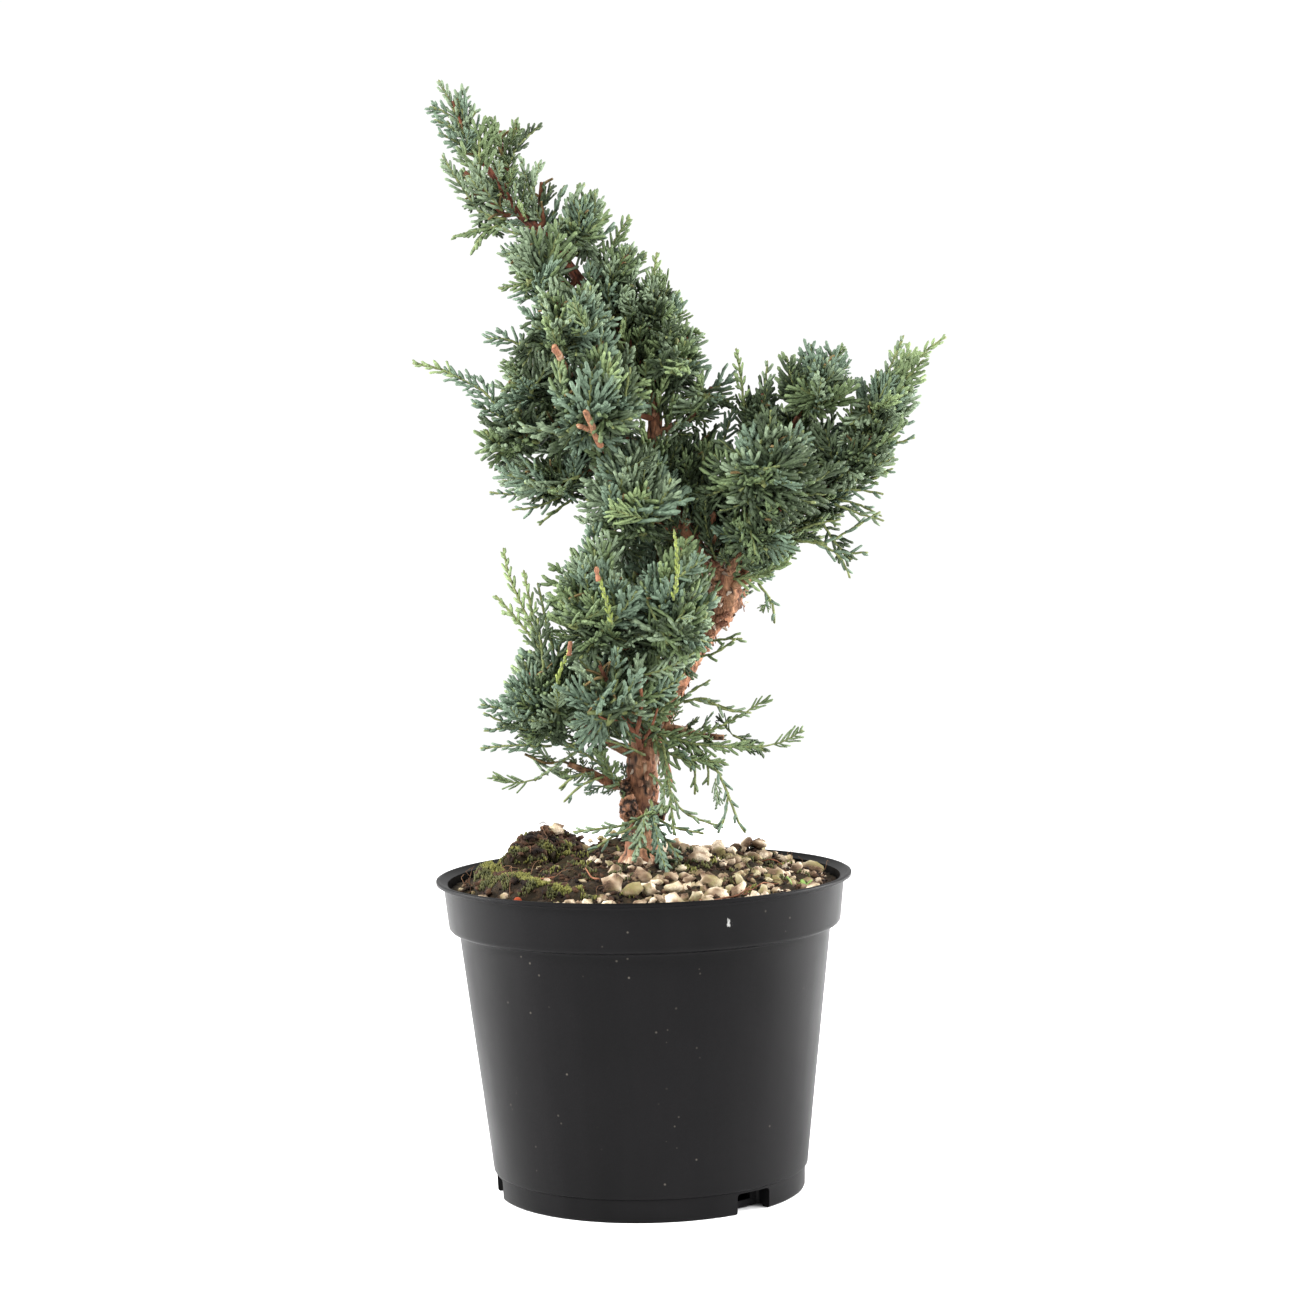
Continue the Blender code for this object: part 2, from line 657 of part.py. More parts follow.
# ---------------------------------------------------------------- the rule that grows a mass
class Space:
    """The rounded space that one mass keeps to, and the stem that carries it."""

    def __init__(self, name, limbs):
        carrier, place, heart, reach, lean = MASSES[name]
        self.name = name
        self.heart = Vector(heart) * MM
        self.turn = Matrix.Rotation(math.radians(lean), 3, "Y")
        along, across, deep = (size * MM for size in reach)
        self.reach = Vector((across, deep, along))
        self.stem = self.grow_stem(limbs[carrier], place)
        self.core = []  # each corner: its direction, its share of the reach, whether it is a tip

    def depth(self, point):
        """0 at the heart and 1 on the outside of the space."""
        local = self.turn.transposed() @ (point - self.heart)
        return Vector([local[i] / self.reach[i] for i in range(3)]).length

    def on_shell(self, number, count, rng):
        """Outer places in a golden-angle spiral, which is even on all sides."""
        height = 1 - 2 * (number + 0.5) / count
        ring = math.sqrt(1 - height * height)
        angle = number * GOLDEN_ANGLE + rng.uniform(-0.35, 0.35)
        out = Vector((ring * math.cos(angle), ring * math.sin(angle), height)) * rng.uniform(0.98, 1.12)
        return self.heart + self.turn @ Vector([out[i] * self.reach[i] for i in range(3)])

    def place(self, out, share):
        """The place at a share of the space's reach, in a direction given in its own frame."""
        return self.heart + self.turn @ Vector([out[i] * self.reach[i] for i in range(3)]) * share

    def aim(self, point):
        """The direction of a point from the heart, in the space's own frame."""
        local = self.turn.transposed() @ (point - self.heart)
        return Vector([local[i] / self.reach[i] for i in range(3)]).normalized()

    def core_along(self, out):
        """How far the core reaches in a direction, as a share of the space."""
        hollows = [corner for corner in self.core if not corner[2]]
        return max(hollows, key=lambda corner: corner[0].dot(out))[1]

    def core_shape(self):
        """A ball with a tuft on every face; the corners come first and then the tufts' tips."""
        shape = bmesh.new()
        small = sum(self.reach) / 3 < SMALL_SPACE * MM
        bmesh.ops.create_icosphere(shape, subdivisions=1 if small else 2, radius=1.0)
        hollows = len(shape.verts)
        bmesh.ops.poke(shape, faces=shape.faces)
        return shape, hollows

    def grow_stem(self, limb, place):
        """From the limb's side or tip to the heart, and on towards the far side."""
        if place == TIP:
            centre, heading, radius = limb.at_share(1.0)
            foot = centre + heading * GAP
        else:
            if limb.name == "trunk":
                centre, heading, radius = limb.at_height(place * MM)
            else:
                centre, heading, radius = limb.at_share(place)
            aim = self.heart - centre
            outward = (aim - heading * aim.dot(heading)).normalized()
            foot = centre + outward * (radius + GAP)
            heading = outward
        span = self.heart - foot
        bend = foot + heading * span.length * STEM_SET_OUT
        beyond = (span.normalized() + Vector((0, 0, STEM_RISE))).normalized()
        local = self.turn.transposed() @ beyond
        far = 1 / Vector([local[i] / self.reach[i] for i in range(3)]).length
        end = self.heart + beyond * far * STEM_BEYOND
        points = smooth_run([foot, bend, self.heart, end], STEM_SPAN_STEPS)
        thick = min(STEM_RADIUS[0] * MM, radius * 0.85)
        thin = STEM_RADIUS[1] * MM
        last = len(points) - 1
        radii = [thick + (min(thin, thick) - thick) * index / last for index in range(last + 1)]
        return Limb(self.name, points, radii, 1)

    def root_for(self, target):
        """Where a twig starts: inside the core, or on the stem far enough back to sweep forward."""
        if self.core:
            back = (self.aim(target) - Vector((0, 0, SPRAY_SWEEP))).normalized()
            return self.place(back, self.core_along(back) * SPRAY_ROOT_DEPTH)
        points = self.stem.points
        index = min(range(len(points)), key=lambda number: (points[number] - target).length)
        distance = (points[index] - target).length
        shortest = SPRAY_LENGTH[0] * MM
        wanted = max(SPRAY_SWEEP * distance, math.sqrt(max(shortest**2 - distance**2, 0.0)))
        back = 0.0
        while index > 1 and back < wanted:
            back += (points[index] - points[index - 1]).length
            index -= 1
        return points[index]


class Grown:
    """Every solid so far, as a search tree with its middle, its reach and its mass and twig."""

    def __init__(self, spaces):
        self.spaces = spaces
        self.solids = []

    def add(self, shape, name, twig=None):
        middle, reach = ball_round(shape)
        self.solids.append((BVHTree.FromBMesh(shape), middle, reach, name, twig))

    def is_clear(self, shape, name, twig=None):
        """Clear of the other masses and limbs, and of this mass's other sprays."""
        middle, reach = ball_round(shape)
        tree = BVHTree.FromBMesh(shape)
        for other, place, size, owner, owner_twig in self.solids:
            if owner == name and (owner_twig is None or twig is None or owner_twig == twig):
                continue
            if (place - middle).length < size + reach and tree.overlap(other):
                return False
        for vertex in shape.verts:
            point = vertex.co
            if point.z < ground_height(point.x, point.y) + GAP:
                return False
        return True

    def grow_core(self, space, rng):
        """Swells a core from the heart until it meets a limb, a neighbour's space or its limit."""
        shape, hollows = space.core_shape()
        for number, vertex in enumerate(shape.verts):
            tuft = number >= hollows
            sweep = Vector((0, 0, TUFT_SWEEP)) if tuft else Vector()
            out = (vertex.co.normalized() + sweep).normalized()
            unevenness = rng.uniform(1 - CORE_UNEVENNESS, 1 + CORE_UNEVENNESS)
            limit = (TUFT_SHARE if tuft else CORE_SHARE) * unevenness
            share = LEAST_CORE
            while share < limit and self.is_free(space, space.place(out, share + CORE_STEP)):
                share += CORE_STEP
            space.core.append((out, share, tuft))
        while self.fit_core(space, shape):
            if max(corner[1] for corner in space.core) < LEAST_CORE:
                space.core = []
                break
        if space.core:
            self.add(shape, space.name)
        shape.free()

    def is_free(self, space, point):
        """The point is nearest this space and stands clear of every other limb and core."""
        if self.owner_of(point) != space.name:
            return False
        for tree, middle, reach, owner, _ in self.solids:
            if owner != space.name and (middle - point).length < reach + CORE_CLEARANCE * MM:
                if tree.find_nearest(point)[3] < CORE_CLEARANCE * MM:
                    return False
        return True

    def fit_core(self, space, shape):
        """Sets the core's corners; where it still meets something, draws it in and says so."""
        shape.verts.ensure_lookup_table()
        for vertex, (out, share, _) in zip(shape.verts, space.core):
            vertex.co = space.place(out, share)
        tree = BVHTree.FromBMesh(shape)
        met = set()
        for other, _, _, owner, _ in self.solids:
            if owner != space.name:
                met.update(pair[0] for pair in tree.overlap(other))
        shape.faces.ensure_lookup_table()
        corners = {vertex.index for face in met for vertex in shape.faces[face].verts}
        for index in corners:
            out, share, tuft = space.core[index]
            space.core[index] = (out, share * CORE_DRAW_IN, tuft)
        return bool(corners)

    def owner_of(self, point):
        return min(self.spaces, key=lambda space: space.depth(point)).name


def ball_round(shape):
    middle = Vector()
    for vertex in shape.verts:
        middle += vertex.co
    middle /= len(shape.verts)
    return middle, max((vertex.co - middle).length for vertex in shape.verts)


def stalk_shape(start, end, swell=0.0):
    """A straight three-sided stalk."""
    shape = bmesh.new()
    length = (end - start).length
    bmesh.ops.create_cone(
        shape,
        cap_ends=True,
        segments=3,
        radius1=STALK_RADIUS[0] * MM + swell,
        radius2=STALK_RADIUS[1] * MM + swell,
        depth=length,
    )
    bmesh.ops.translate(shape, vec=(0, 0, length / 2), verts=shape.verts)
    aim = (end - start).to_track_quat("Z", "Y").to_matrix()
    bmesh.ops.rotate(shape, cent=(0, 0, 0), matrix=aim, verts=shape.verts)
    bmesh.ops.translate(shape, vec=start, verts=shape.verts)
    return shape


def spray_shape(root, tip, across, swell=0.0, slim=1.0):
    """A flat toothed spray: a double pyramid whose rim is pulled to the outline."""
    sides = 2 * (len(SPRAY_OUTLINE) - 1)
    shape = bmesh.new()
    bmesh.ops.create_uvsphere(shape, u_segments=sides, v_segments=2, radius=1.0)
    length = (tip - root).length
    half_width = length * SPRAY_HALF_WIDTH * slim
    for vertex in shape.verts:
        x, y, z = vertex.co
        if abs(z) > 0.5:
            thick = length * SPRAY_HALF_THICKNESS + swell
            vertex.co = Vector((0.0, math.copysign(thick, z), SPRAY_MIDDLE * length))
            continue
        place = round(math.atan2(y, x) / math.tau * sides) % sides
        share, width = SPRAY_OUTLINE[min(place, sides - place)]
        side = 1 if place < sides / 2 else -1
        end = 2 * swell * (share == 1.0)
        reach = (width * half_width + swell * (width > 0)) * side
        vertex.co = Vector((reach, 0.0, share * length + end))
    along = (tip - root).normalized()
    sideways = (across - along * across.dot(along)).normalized()
    turn = Matrix((sideways, along.cross(sideways), along)).transposed()
    bmesh.ops.rotate(shape, cent=(0, 0, 0), matrix=turn, verts=shape.verts)
    bmesh.ops.translate(shape, vec=root, verts=shape.verts)
    return shape


def grow_twig(space, target, twig, slim, grown, rng, group):
    """A twig to the target, or as far towards it as is free: a spray, on a stalk if it is long."""
    swell = SPRAY_CLEARANCE * MM
    fork = space.root_for(target)
    heading = (target - fork).normalized()
    across = heading.cross(Vector([rng.uniform(-1, 1) for _ in range(3)])).normalized()
    reach = 1.0
    while reach >= SHORTEST_REACH:
        tip = fork.lerp(target, reach)
        root = tip - heading * min((tip - fork).length, SPRAY_LENGTH[1] * MM)
        bare = (root - fork).length
        if grown.owner_of(tip) == space.name:
            clear = grown.is_clear(spray_shape(root, tip, across, swell, slim), space.name, twig)
            if clear and bare > 0:
                clear = grown.is_clear(stalk_shape(fork, root, swell), space.name)
            if clear:
                break
        reach -= REACH_STEP
    else:
        return
    kept = [spray_shape(root, tip, across, slim=slim)]
    if bare > 0:
        kept.append(stalk_shape(fork, root + heading * STALK_OVERLAP * MM))
    for shape in kept:
        grown.add(shape, space.name, twig)
        object_from("spray", shape, group)


def core_solid(space, group):
    """The tufted middle of a dense mass."""
    shape, _ = space.core_shape()
    for vertex, (out, share, _) in zip(shape.verts, space.core):
        vertex.co = space.place(out, share)
    return object_from("core", shape, group)


def twig_count(space):
    """A twig for each patch of the space's surface, by Thomsen's rule for an ellipsoid."""
    across, deep, along = (size / MM for size in space.reach)
    power = 1.6
    mean = ((across * deep) ** power + (across * along) ** power + (deep * along) ** power) / 3
    area = 4 * math.pi * mean ** (1 / power)
    share = TWIG_AREA if space.core else OPEN_TWIG_AREA
    return max(FEWEST_TWIGS, round(area / share))


def joined(stem, group):
    """The stem with everything in the group fused on; a spray that will not fuse is dropped."""
    while True:
        for solver in ("MANIFOLD", "EXACT"):
            piece = stem.solid(plant, 0)
            boolean(piece, "UNION", group=group, solver=solver)
            apply_modifiers(piece)
            keep_main_body(piece)
            if is_closed(piece):
                return piece
            bpy.data.objects.remove(piece, do_unlink=True)
        bpy.data.objects.remove(group.objects[-1], do_unlink=True)


def mass_solid(space, grown, number):
    """One mass: its stem, core, stalks and sprays joined by one union."""
    rng = random.Random(SEED + 7 * number)
    group = new_collection(space.name + "_pieces")
    count = twig_count(space)
    shoots = [Vector(tip) * MM for tip in SHOOTS.get(space.name, ())]
    targets = shoots + [space.on_shell(index, count, rng) for index in range(count)]
    if space.core:
        core_solid(space, group)
    for twig, target in enumerate(targets):
        slim = SHOOT_SLIMNESS if twig < len(shoots) else 1.0
        grow_twig(space, target, twig, slim, grown, rng, group)
    piece = joined(space.stem, group)
    for part in list(group.objects):
        bpy.data.objects.remove(part, do_unlink=True)
    bpy.data.collections.remove(group)
    shade = 1 + FOLIAGE_SHADES * math.sin(2.4 * number)
    give_finish(piece, [value * shade for value in FOLIAGE], 0.7)


def foliage(trunk, boughs):
    limbs = {"trunk": trunk, **boughs}
    spaces = [Space(name, limbs) for name in MASSES]
    grown = Grown(spaces)
    for limb in (*limbs.values(), *(space.stem for space in spaces)):
        guide = limb.solid(cutters, 1)
        shape = bmesh.new()
        shape.from_mesh(guide.data)
        grown.add(shape, limb.name)
        shape.free()
        bpy.data.objects.remove(guide, do_unlink=True)
    rng = random.Random(SEED)
    for space in spaces:
        if space.name not in OPEN:
            grown.grow_core(space, rng)
    for number, space in enumerate(spaces):
        mass_solid(space, grown, number)


give_finish(pot(), *FINISHES["nursery_pot"])
ground = soil()
give_finish(ground, *FINISHES["soil_and_pumice"])
moss(ground)
main_trunk = grow_trunk()
give_finish(trunk_solid(main_trunk), BARK, 0.85)
main_boughs = grow_boughs(main_trunk)
bough_solids(main_trunk, main_boughs)
foliage(main_trunk, main_boughs)
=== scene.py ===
# %% [markdown]
# # A trained juniper in its nursery pot
# The plant is a young juniper whose trunk was bent into an S by hand. It grows in the soft black
# pot that growers use, on a bed of dark soil, pale pumice and moss.
#
# Measured solids of the same plant are loaded first. They hold the true sizes. The pieces made in
# this lesson replace them, keep close to their shapes, and add what they leave out.

# %% Load the measured solids
import math
import random

import bmesh
import bpy
import numpy as np
from mathutils import Matrix, Vector, noise


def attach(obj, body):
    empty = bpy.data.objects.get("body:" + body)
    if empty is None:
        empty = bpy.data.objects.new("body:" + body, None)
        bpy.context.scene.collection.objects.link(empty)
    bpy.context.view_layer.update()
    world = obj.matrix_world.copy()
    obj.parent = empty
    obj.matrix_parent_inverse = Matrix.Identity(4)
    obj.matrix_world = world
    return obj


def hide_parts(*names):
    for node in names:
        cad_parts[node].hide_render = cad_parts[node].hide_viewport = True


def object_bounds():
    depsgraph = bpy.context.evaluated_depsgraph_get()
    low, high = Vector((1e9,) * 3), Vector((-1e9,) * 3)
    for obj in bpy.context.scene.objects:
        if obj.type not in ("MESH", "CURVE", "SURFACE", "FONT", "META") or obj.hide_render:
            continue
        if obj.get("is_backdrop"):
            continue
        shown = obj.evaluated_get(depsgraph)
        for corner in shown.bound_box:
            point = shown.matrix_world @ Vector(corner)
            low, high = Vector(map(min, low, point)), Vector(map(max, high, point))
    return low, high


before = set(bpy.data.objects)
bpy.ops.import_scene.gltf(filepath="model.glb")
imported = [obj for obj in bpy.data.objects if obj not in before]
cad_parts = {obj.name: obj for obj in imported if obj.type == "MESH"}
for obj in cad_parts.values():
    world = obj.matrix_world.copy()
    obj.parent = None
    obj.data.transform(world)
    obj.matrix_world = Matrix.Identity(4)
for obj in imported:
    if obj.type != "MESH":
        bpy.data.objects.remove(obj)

MM = 0.001
SEED = 41


def add_object(name, data):
    """A new object in the scene."""
    made = bpy.data.objects.new(name, data)
    bpy.context.scene.collection.objects.link(made)
    return made


solid_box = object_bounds()
print("solids:", len(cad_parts))
print("size in mm:", [round((high - low) / MM, 1) for low, high in zip(*solid_box)])

# %% [markdown]
# ## The camera
# The plant was looked at from a little above its pot, with a long lens. A lens of about 87 mm
# keeps the sides of the pot nearly parallel. The camera looks down by less than four degrees and
# leans by a degree and a half, so its three axes are worked out one from the other: where it
# looks, what is on its right, and what is up.

# %% Camera
CAMERA_PLACE = Vector((0.0, -1.42528, 0.34136))
CAMERA_DOWN = math.radians(3.774)
CAMERA_ASIDE = math.radians(0.218)
CAMERA_LEAN = math.radians(-1.431)
CAMERA_LENS = 86.8
CAMERA_SENSOR = 36.0

flat = math.cos(CAMERA_DOWN)
looks = Vector((math.sin(CAMERA_ASIDE) * flat, math.cos(CAMERA_ASIDE) * flat, -math.sin(CAMERA_DOWN)))
level = looks.cross(Vector((0, 0, 1))).normalized()
upright = level.cross(looks)
right = level * math.cos(CAMERA_LEAN) + upright * math.sin(CAMERA_LEAN)
above = upright * math.cos(CAMERA_LEAN) - level * math.sin(CAMERA_LEAN)

camera = add_object("camera", bpy.data.cameras.new("camera"))
camera.data.sensor_width = CAMERA_SENSOR
camera.data.lens = CAMERA_LENS
turn = Matrix((right, above, -looks)).transposed().to_4x4()
camera.matrix_world = Matrix.Translation(CAMERA_PLACE) @ turn
bpy.context.scene.camera = camera
print("lens:", CAMERA_LENS, "mm, distance:", round(CAMERA_PLACE.length, 2), "m")

# %% [markdown]
# ## Shader sums in Python
# A material is a net of nodes, and most of those nodes do plain sums. It reads far better as an
# expression, so `Reading` wraps the output of a node and lets `+`, `-` and `*` add Math nodes.
# `Finish` makes a material, and its one method `node` adds every other kind of node. The short
# methods after it name the kinds used most. Colours are mixed with `blend`, because a Math node
# would turn them grey.

# %% Readings and finishes
class Reading:
    """The output of a node, on which Python's operators work."""

    def __init__(self, finish, socket):
        self.finish = finish
        self.socket = socket

    def sum(self, operation, first, second):
        return self.finish.node("ShaderNodeMath", {0: first, 1: second}, operation=operation)

    def __add__(self, other):
        return self.sum("ADD", self, other)

    def __sub__(self, other):
        return self.sum("SUBTRACT", self, other)

    def __rsub__(self, other):
        return self.sum("SUBTRACT", other, self)

    def __mul__(self, other):
        return self.sum("MULTIPLY", self, other)

    __radd__ = __add__
    __rmul__ = __mul__


class Finish:
    """A material whose nodes are added by expressions."""

    def __init__(self, name, roughness, specular=0.5):
        self.material = bpy.data.materials.new(name)
        self.material.use_nodes = True
        self.tree = self.material.node_tree
        self.shader = self.tree.nodes["Principled BSDF"]
        self.shader.inputs["Roughness"].default_value = roughness
        self.shader.inputs["Specular IOR Level"].default_value = specular
        self.place = self.node("ShaderNodeTexCoord", out="Object")

    def feed(self, socket, value):
        if isinstance(value, Reading):
            self.tree.links.new(value.socket, socket)
        elif socket.type == "RGBA":
            socket.default_value = (*value, 1.0)
        else:
            socket.default_value = value

    def node(self, kind, values=None, out=0, stops=(), **settings):
        """Adds a node with its settings, feeds its sockets and reads one output."""
        made = self.tree.nodes.new(kind)
        for name, setting in settings.items():
            setattr(made, name, setting)
        if stops:
            ramp = made.color_ramp.elements
            while len(ramp) < len(stops):
                ramp.new(0.5)
            for stop, (share, colour) in zip(ramp, stops):
                stop.position = share
                stop.color = (*colour, 1.0)
        for name, value in (values or {}).items():
            self.feed(made.inputs[name], value)
        return Reading(self, made.outputs[out])

    def noise(self, scale, detail=3.0, rough=0.55, place=None):
        values = {"Vector": place or self.place, "Scale": scale, "Detail": detail, "Roughness": rough}
        return self.node("ShaderNodeTexNoise", values, out="Fac")

    def cells(self, scale):
        """How far a place lies from the middle of its Voronoi cell."""
        values = {"Vector": self.place, "Scale": scale}
        return self.node("ShaderNodeTexVoronoi", values, out="Distance")

    def fade(self, value, low, high):
        """0 where the value is at low, 1 where it is at high, and even between."""
        values = {"Value": value, "From Min": low, "From Max": high}
        return self.node("ShaderNodeMapRange", values)

    def stretched(self, scale):
        return self.node("ShaderNodeMapping", {"Vector": self.place, "Scale": scale})

    def blend(self, amount, first, second):
        values = {0: amount, 6: first, 7: second}
        return self.node("ShaderNodeMix", values, out=2, data_type="RGBA")

    def set(self, colour=None, roughness=None, bump=None, depth=0.0004, strength=0.6):
        """Feeds what changes over the surface to the shader."""
        if colour is not None:
            self.feed(self.shader.inputs["Base Color"], colour)
        if roughness is not None:
            self.feed(self.shader.inputs["Roughness"], roughness)
        if bump is not None:
            values = {"Height": bump, "Strength": strength, "Distance": depth}
            self.feed(self.shader.inputs["Normal"], self.node("ShaderNodeBump", values))
        return self.material


print("shader helpers ready")

# %% [markdown]
# ## From shapes to pieces
# Each shape is built as a bmesh, a mesh that Blender's modelling operators can work on. When it is
# done it becomes a piece with its finish, attached to the plant's root.

# %% Making pieces
def piece_from(name, shape, material, slot, stands_for=(), smooth=True):
    """A shape or a mesh becomes a piece that rides with the plant and replaces its solids."""
    mesh = shape if isinstance(shape, bpy.types.Mesh) else mesh_from(name, shape)
    if smooth:
        mesh.shade_smooth()
    mesh.materials.clear()
    mesh.materials.append(material)
    piece = add_object(name, mesh)
    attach(piece, "root")
    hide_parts(*stands_for)
    print(f"{name}: {len(mesh.polygons)} faces")
    return piece


def mesh_from(name, shape):
    mesh = bpy.data.meshes.new(name)
    shape.to_mesh(mesh)
    shape.free()
    return mesh


print("piece helpers ready")

# %% [markdown]
# Small things that are repeated hundreds of times, such as leaves and stones, are stamped: a few
# templates are modelled, and their corners are copied in bulk as arrays.

# %% Stamps and heaps
class Stamp:
    """A modelled shape as arrays: its corners and its triangles."""

    def __init__(self, shape):
        bmesh.ops.triangulate(shape, faces=shape.faces)
        bmesh.ops.recalc_face_normals(shape, faces=shape.faces)
        shape.verts.index_update()
        self.points = np.array([vertex.co for vertex in shape.verts])
        self.faces = np.array([[corner.index for corner in face.verts] for face in shape.faces])
        shape.free()


class Heap:
    """Stamped copies of one kind, which become a few pieces of under 200,000 triangles."""

    LARGEST = 190000

    def __init__(self, name, material, slot):
        self.name, self.material, self.slot = name, material, slot
        self.batches = [([], [])]
        self.corners = 0
        self.triangles = 0
        self.nodes = set()

    def add(self, points, faces, node=None):
        if self.triangles + len(faces) > self.LARGEST:
            self.batches.append(([], []))
            self.corners = self.triangles = 0
        batch = self.batches[-1]
        batch[0].append(points)
        batch[1].append(faces + self.corners)
        self.corners += len(points)
        self.triangles += len(faces)
        if node:
            self.nodes.add(node)

    def lay(self, stamp, place, along, across, size):
        """A copy of a stamp: its Z along one heading and its X across it."""
        self.add(placed(stamp.points, place, along, across, size), stamp.faces)

    def make(self, smooth=True):
        """Each batch becomes one piece."""
        for number, (points, faces) in enumerate(self.batches):
            points, faces = np.concatenate(points), np.concatenate(faces)
            mesh = bpy.data.meshes.new(self.name)
            mesh.vertices.add(len(points))
            mesh.vertices.foreach_set("co", points.astype(np.float32).ravel())
            mesh.loops.add(faces.size)
            mesh.loops.foreach_set("vertex_index", faces.astype(np.int32).ravel())
            mesh.polygons.add(len(faces))
            mesh.polygons.foreach_set("loop_start", np.arange(0, faces.size, 3, dtype=np.int32))
            mesh.update(calc_edges=True)
            name = self.name if len(self.batches) == 1 else f"{self.name}_{number + 1}"
            piece_from(name, mesh, self.material, self.slot, sorted(self.nodes), smooth)


def placed(points, place, along, across, size=1.0):
    """Corners turned so that their Z runs along and their X across, then moved to a place."""
    along = along.normalized()
    across = (across - along * across.dot(along)).normalized()
    turn = np.array((across, along.cross(across), along))
    return (points * size) @ turn + np.array(place)


print("a piece of stamps holds up to", Heap.LARGEST, "triangles")

# %% [markdown]
# Limbs, twigs and hairs are tapering tubes along a smooth line. Curves with a bevel make many of
# them at once, and the result is kept as a bmesh.

# %% Tubes
def smooth_run(values, steps):
    """A Catmull-Rom curve through the values, with `steps` points for each span."""
    run = []
    for span in range(len(values) - 1):
        before, start = values[max(span - 1, 0)], values[span]
        end, after = values[span + 1], values[min(span + 2, len(values) - 1)]
        for step in range(steps):
            share = step / steps
            run.append(
                0.5 * (2 * start + (end - before) * share
                       + (2 * before - 5 * start + 4 * end - after) * share**2
                       + (3 * start - before - 3 * end + after) * share**3)
            )
    return run + [values[-1]]


def curve_mesh(name, runs, sides_step):
    """Tapering tubes, one for each run of (points, radii), as one mesh."""
    curve = bpy.data.curves.new(name, "CURVE")
    curve.dimensions = "3D"
    curve.bevel_depth = MM
    curve.bevel_resolution = sides_step
    curve.use_fill_caps = True
    for points, radii in runs:
        spline = curve.splines.new("POLY")
        spline.points.add(len(points) - 1)
        for corner, point, radius in zip(spline.points, points, radii):
            corner.co = (*point, 1.0)
            corner.radius = radius / MM
    guide = add_object(name, curve)
    bpy.context.view_layer.update()
    seen = guide.evaluated_get(bpy.context.evaluated_depsgraph_get())
    shape = bmesh.new()
    shape.from_mesh(bpy.data.meshes.new_from_object(seen))
    bpy.data.objects.remove(guide, do_unlink=True)
    bmesh.ops.remove_doubles(shape, verts=shape.verts, dist=0.0005 * MM)
    bmesh.ops.recalc_face_normals(shape, faces=shape.faces)
    return shape


print("tube helpers ready")

# %% [markdown]
# ## Floor and light
# The plant stands on a pale floor in soft, even light. A bright sky of one pale colour fills every
# shadow, a broad lamp high on the left gives the leaves their shape, and a weaker one high on the
# right opens the shaded side. Two low lamps at the back draw satin bands down the sides of the pot.

# %% Floor and light
MIDDLE = Vector((0, 0, 0.25))

shape = bmesh.new()
bmesh.ops.create_circle(shape, cap_ends=True, segments=64, radius=1.4)
floor = add_object("floor", mesh_from("floor", shape))
floor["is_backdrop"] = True
pale_floor = Finish("pale_floor", 0.95, 0.0)
pale = pale_floor.blend(pale_floor.noise(2.0), (0.9, 0.9, 0.9), (0.93, 0.93, 0.93))
floor.data.materials.append(pale_floor.set(pale))

sky = bpy.data.worlds.new("pale_sky")
sky.use_nodes = True
sky_light = sky.node_tree.nodes["Background"].inputs
sky_light["Color"].default_value = (1.0, 1.0, 1.0, 1.0)
sky_light["Strength"].default_value = 1.03
bpy.context.scene.world = sky
bpy.context.scene.view_settings.view_transform = "Standard"


def lamp(name, place, size, watts):
    """A square lamp that looks at the middle of the plant."""
    made = add_object(name, bpy.data.lights.new(name, "AREA"))
    made.data.size = size
    made.data.energy = watts
    made.location = place
    made.rotation_euler = (MIDDLE - Vector(place)).to_track_quat("-Z", "Y").to_euler()
    return made


lamps = [
    lamp("lamp_left", (-1.3, -0.9, 1.5), 0.7, 74.0),
    lamp("lamp_right", (1.6, -0.8, 1.2), 0.9, 40.0),
    lamp("edge_left", (-1.5, 0.4, 0.5), 0.8, 42.0),
    lamp("edge_right", (1.5, 0.4, 0.5), 0.8, 58.0),
]
print("lamps:", [(made.name, made.data.energy) for made in lamps])

# %% [markdown]
# ## The pot
# A nursery pot is blown or moulded from thin black plastic. Its wall leans outwards, a deep collar
# stiffens the top, and three notches at the foot let water out. One outline turned round the
# upright axis makes all of it, so `spin` is the tool. The notches are cut with a boolean, because
# they break the round shape.

# %% The pot's shape
FLOOR = 2.6
FOOT = 70.6
DRAIN_ANGLES = (-50, 70, 190)
POT_OUTLINE = (
    (0, FLOOR), (66, FLOOR), (68.8, FLOOR + 0.6), (70.3, 11), (82.8, 121), (84.6, 123),
    (87.8, 124.2), (89.8, 143), (93, 144.4), (93.4, 145), (94.4, 145), (94.9, 144.7),
    (95, 144.2), (94.9, 143.4), (94.2, 143), (92.2, 142.8), (91.7, 142.3), (91.5, 141.5),
    (89.75, 124.6), (89.5, 123.2), (88.8, 122.3), (87.8, 121.9), (85.9, 121.6), (85.2, 121.1),
    (84.8, 120.2), (84.6, 117.5), (72.15, 11.4), (71.9, 10.9), (71.3, 10.6), (70.9, 10.2),
    (70.65, 1.2), (70.3, 0.4), (69.6, 0), (66.4, 0), (66, 0.9), (0, 0.9),
)
POT_STEPS = 144


def turned(outline, steps):
    """An outline of (radius, height) in millimetres, spun round the upright axis."""
    shape = bmesh.new()
    corners = [shape.verts.new((radius * MM, 0, height * MM)) for radius, height in outline]
    edges = [shape.edges.new(pair) for pair in zip(corners, corners[1:])]
    bmesh.ops.spin(
        shape, geom=corners + edges, axis=(0, 0, 1), angle=math.tau, steps=steps, use_merge=True
    )
    bmesh.ops.remove_doubles(shape, verts=shape.verts, dist=0.01 * MM)
    bmesh.ops.recalc_face_normals(shape, faces=shape.faces)
    return shape


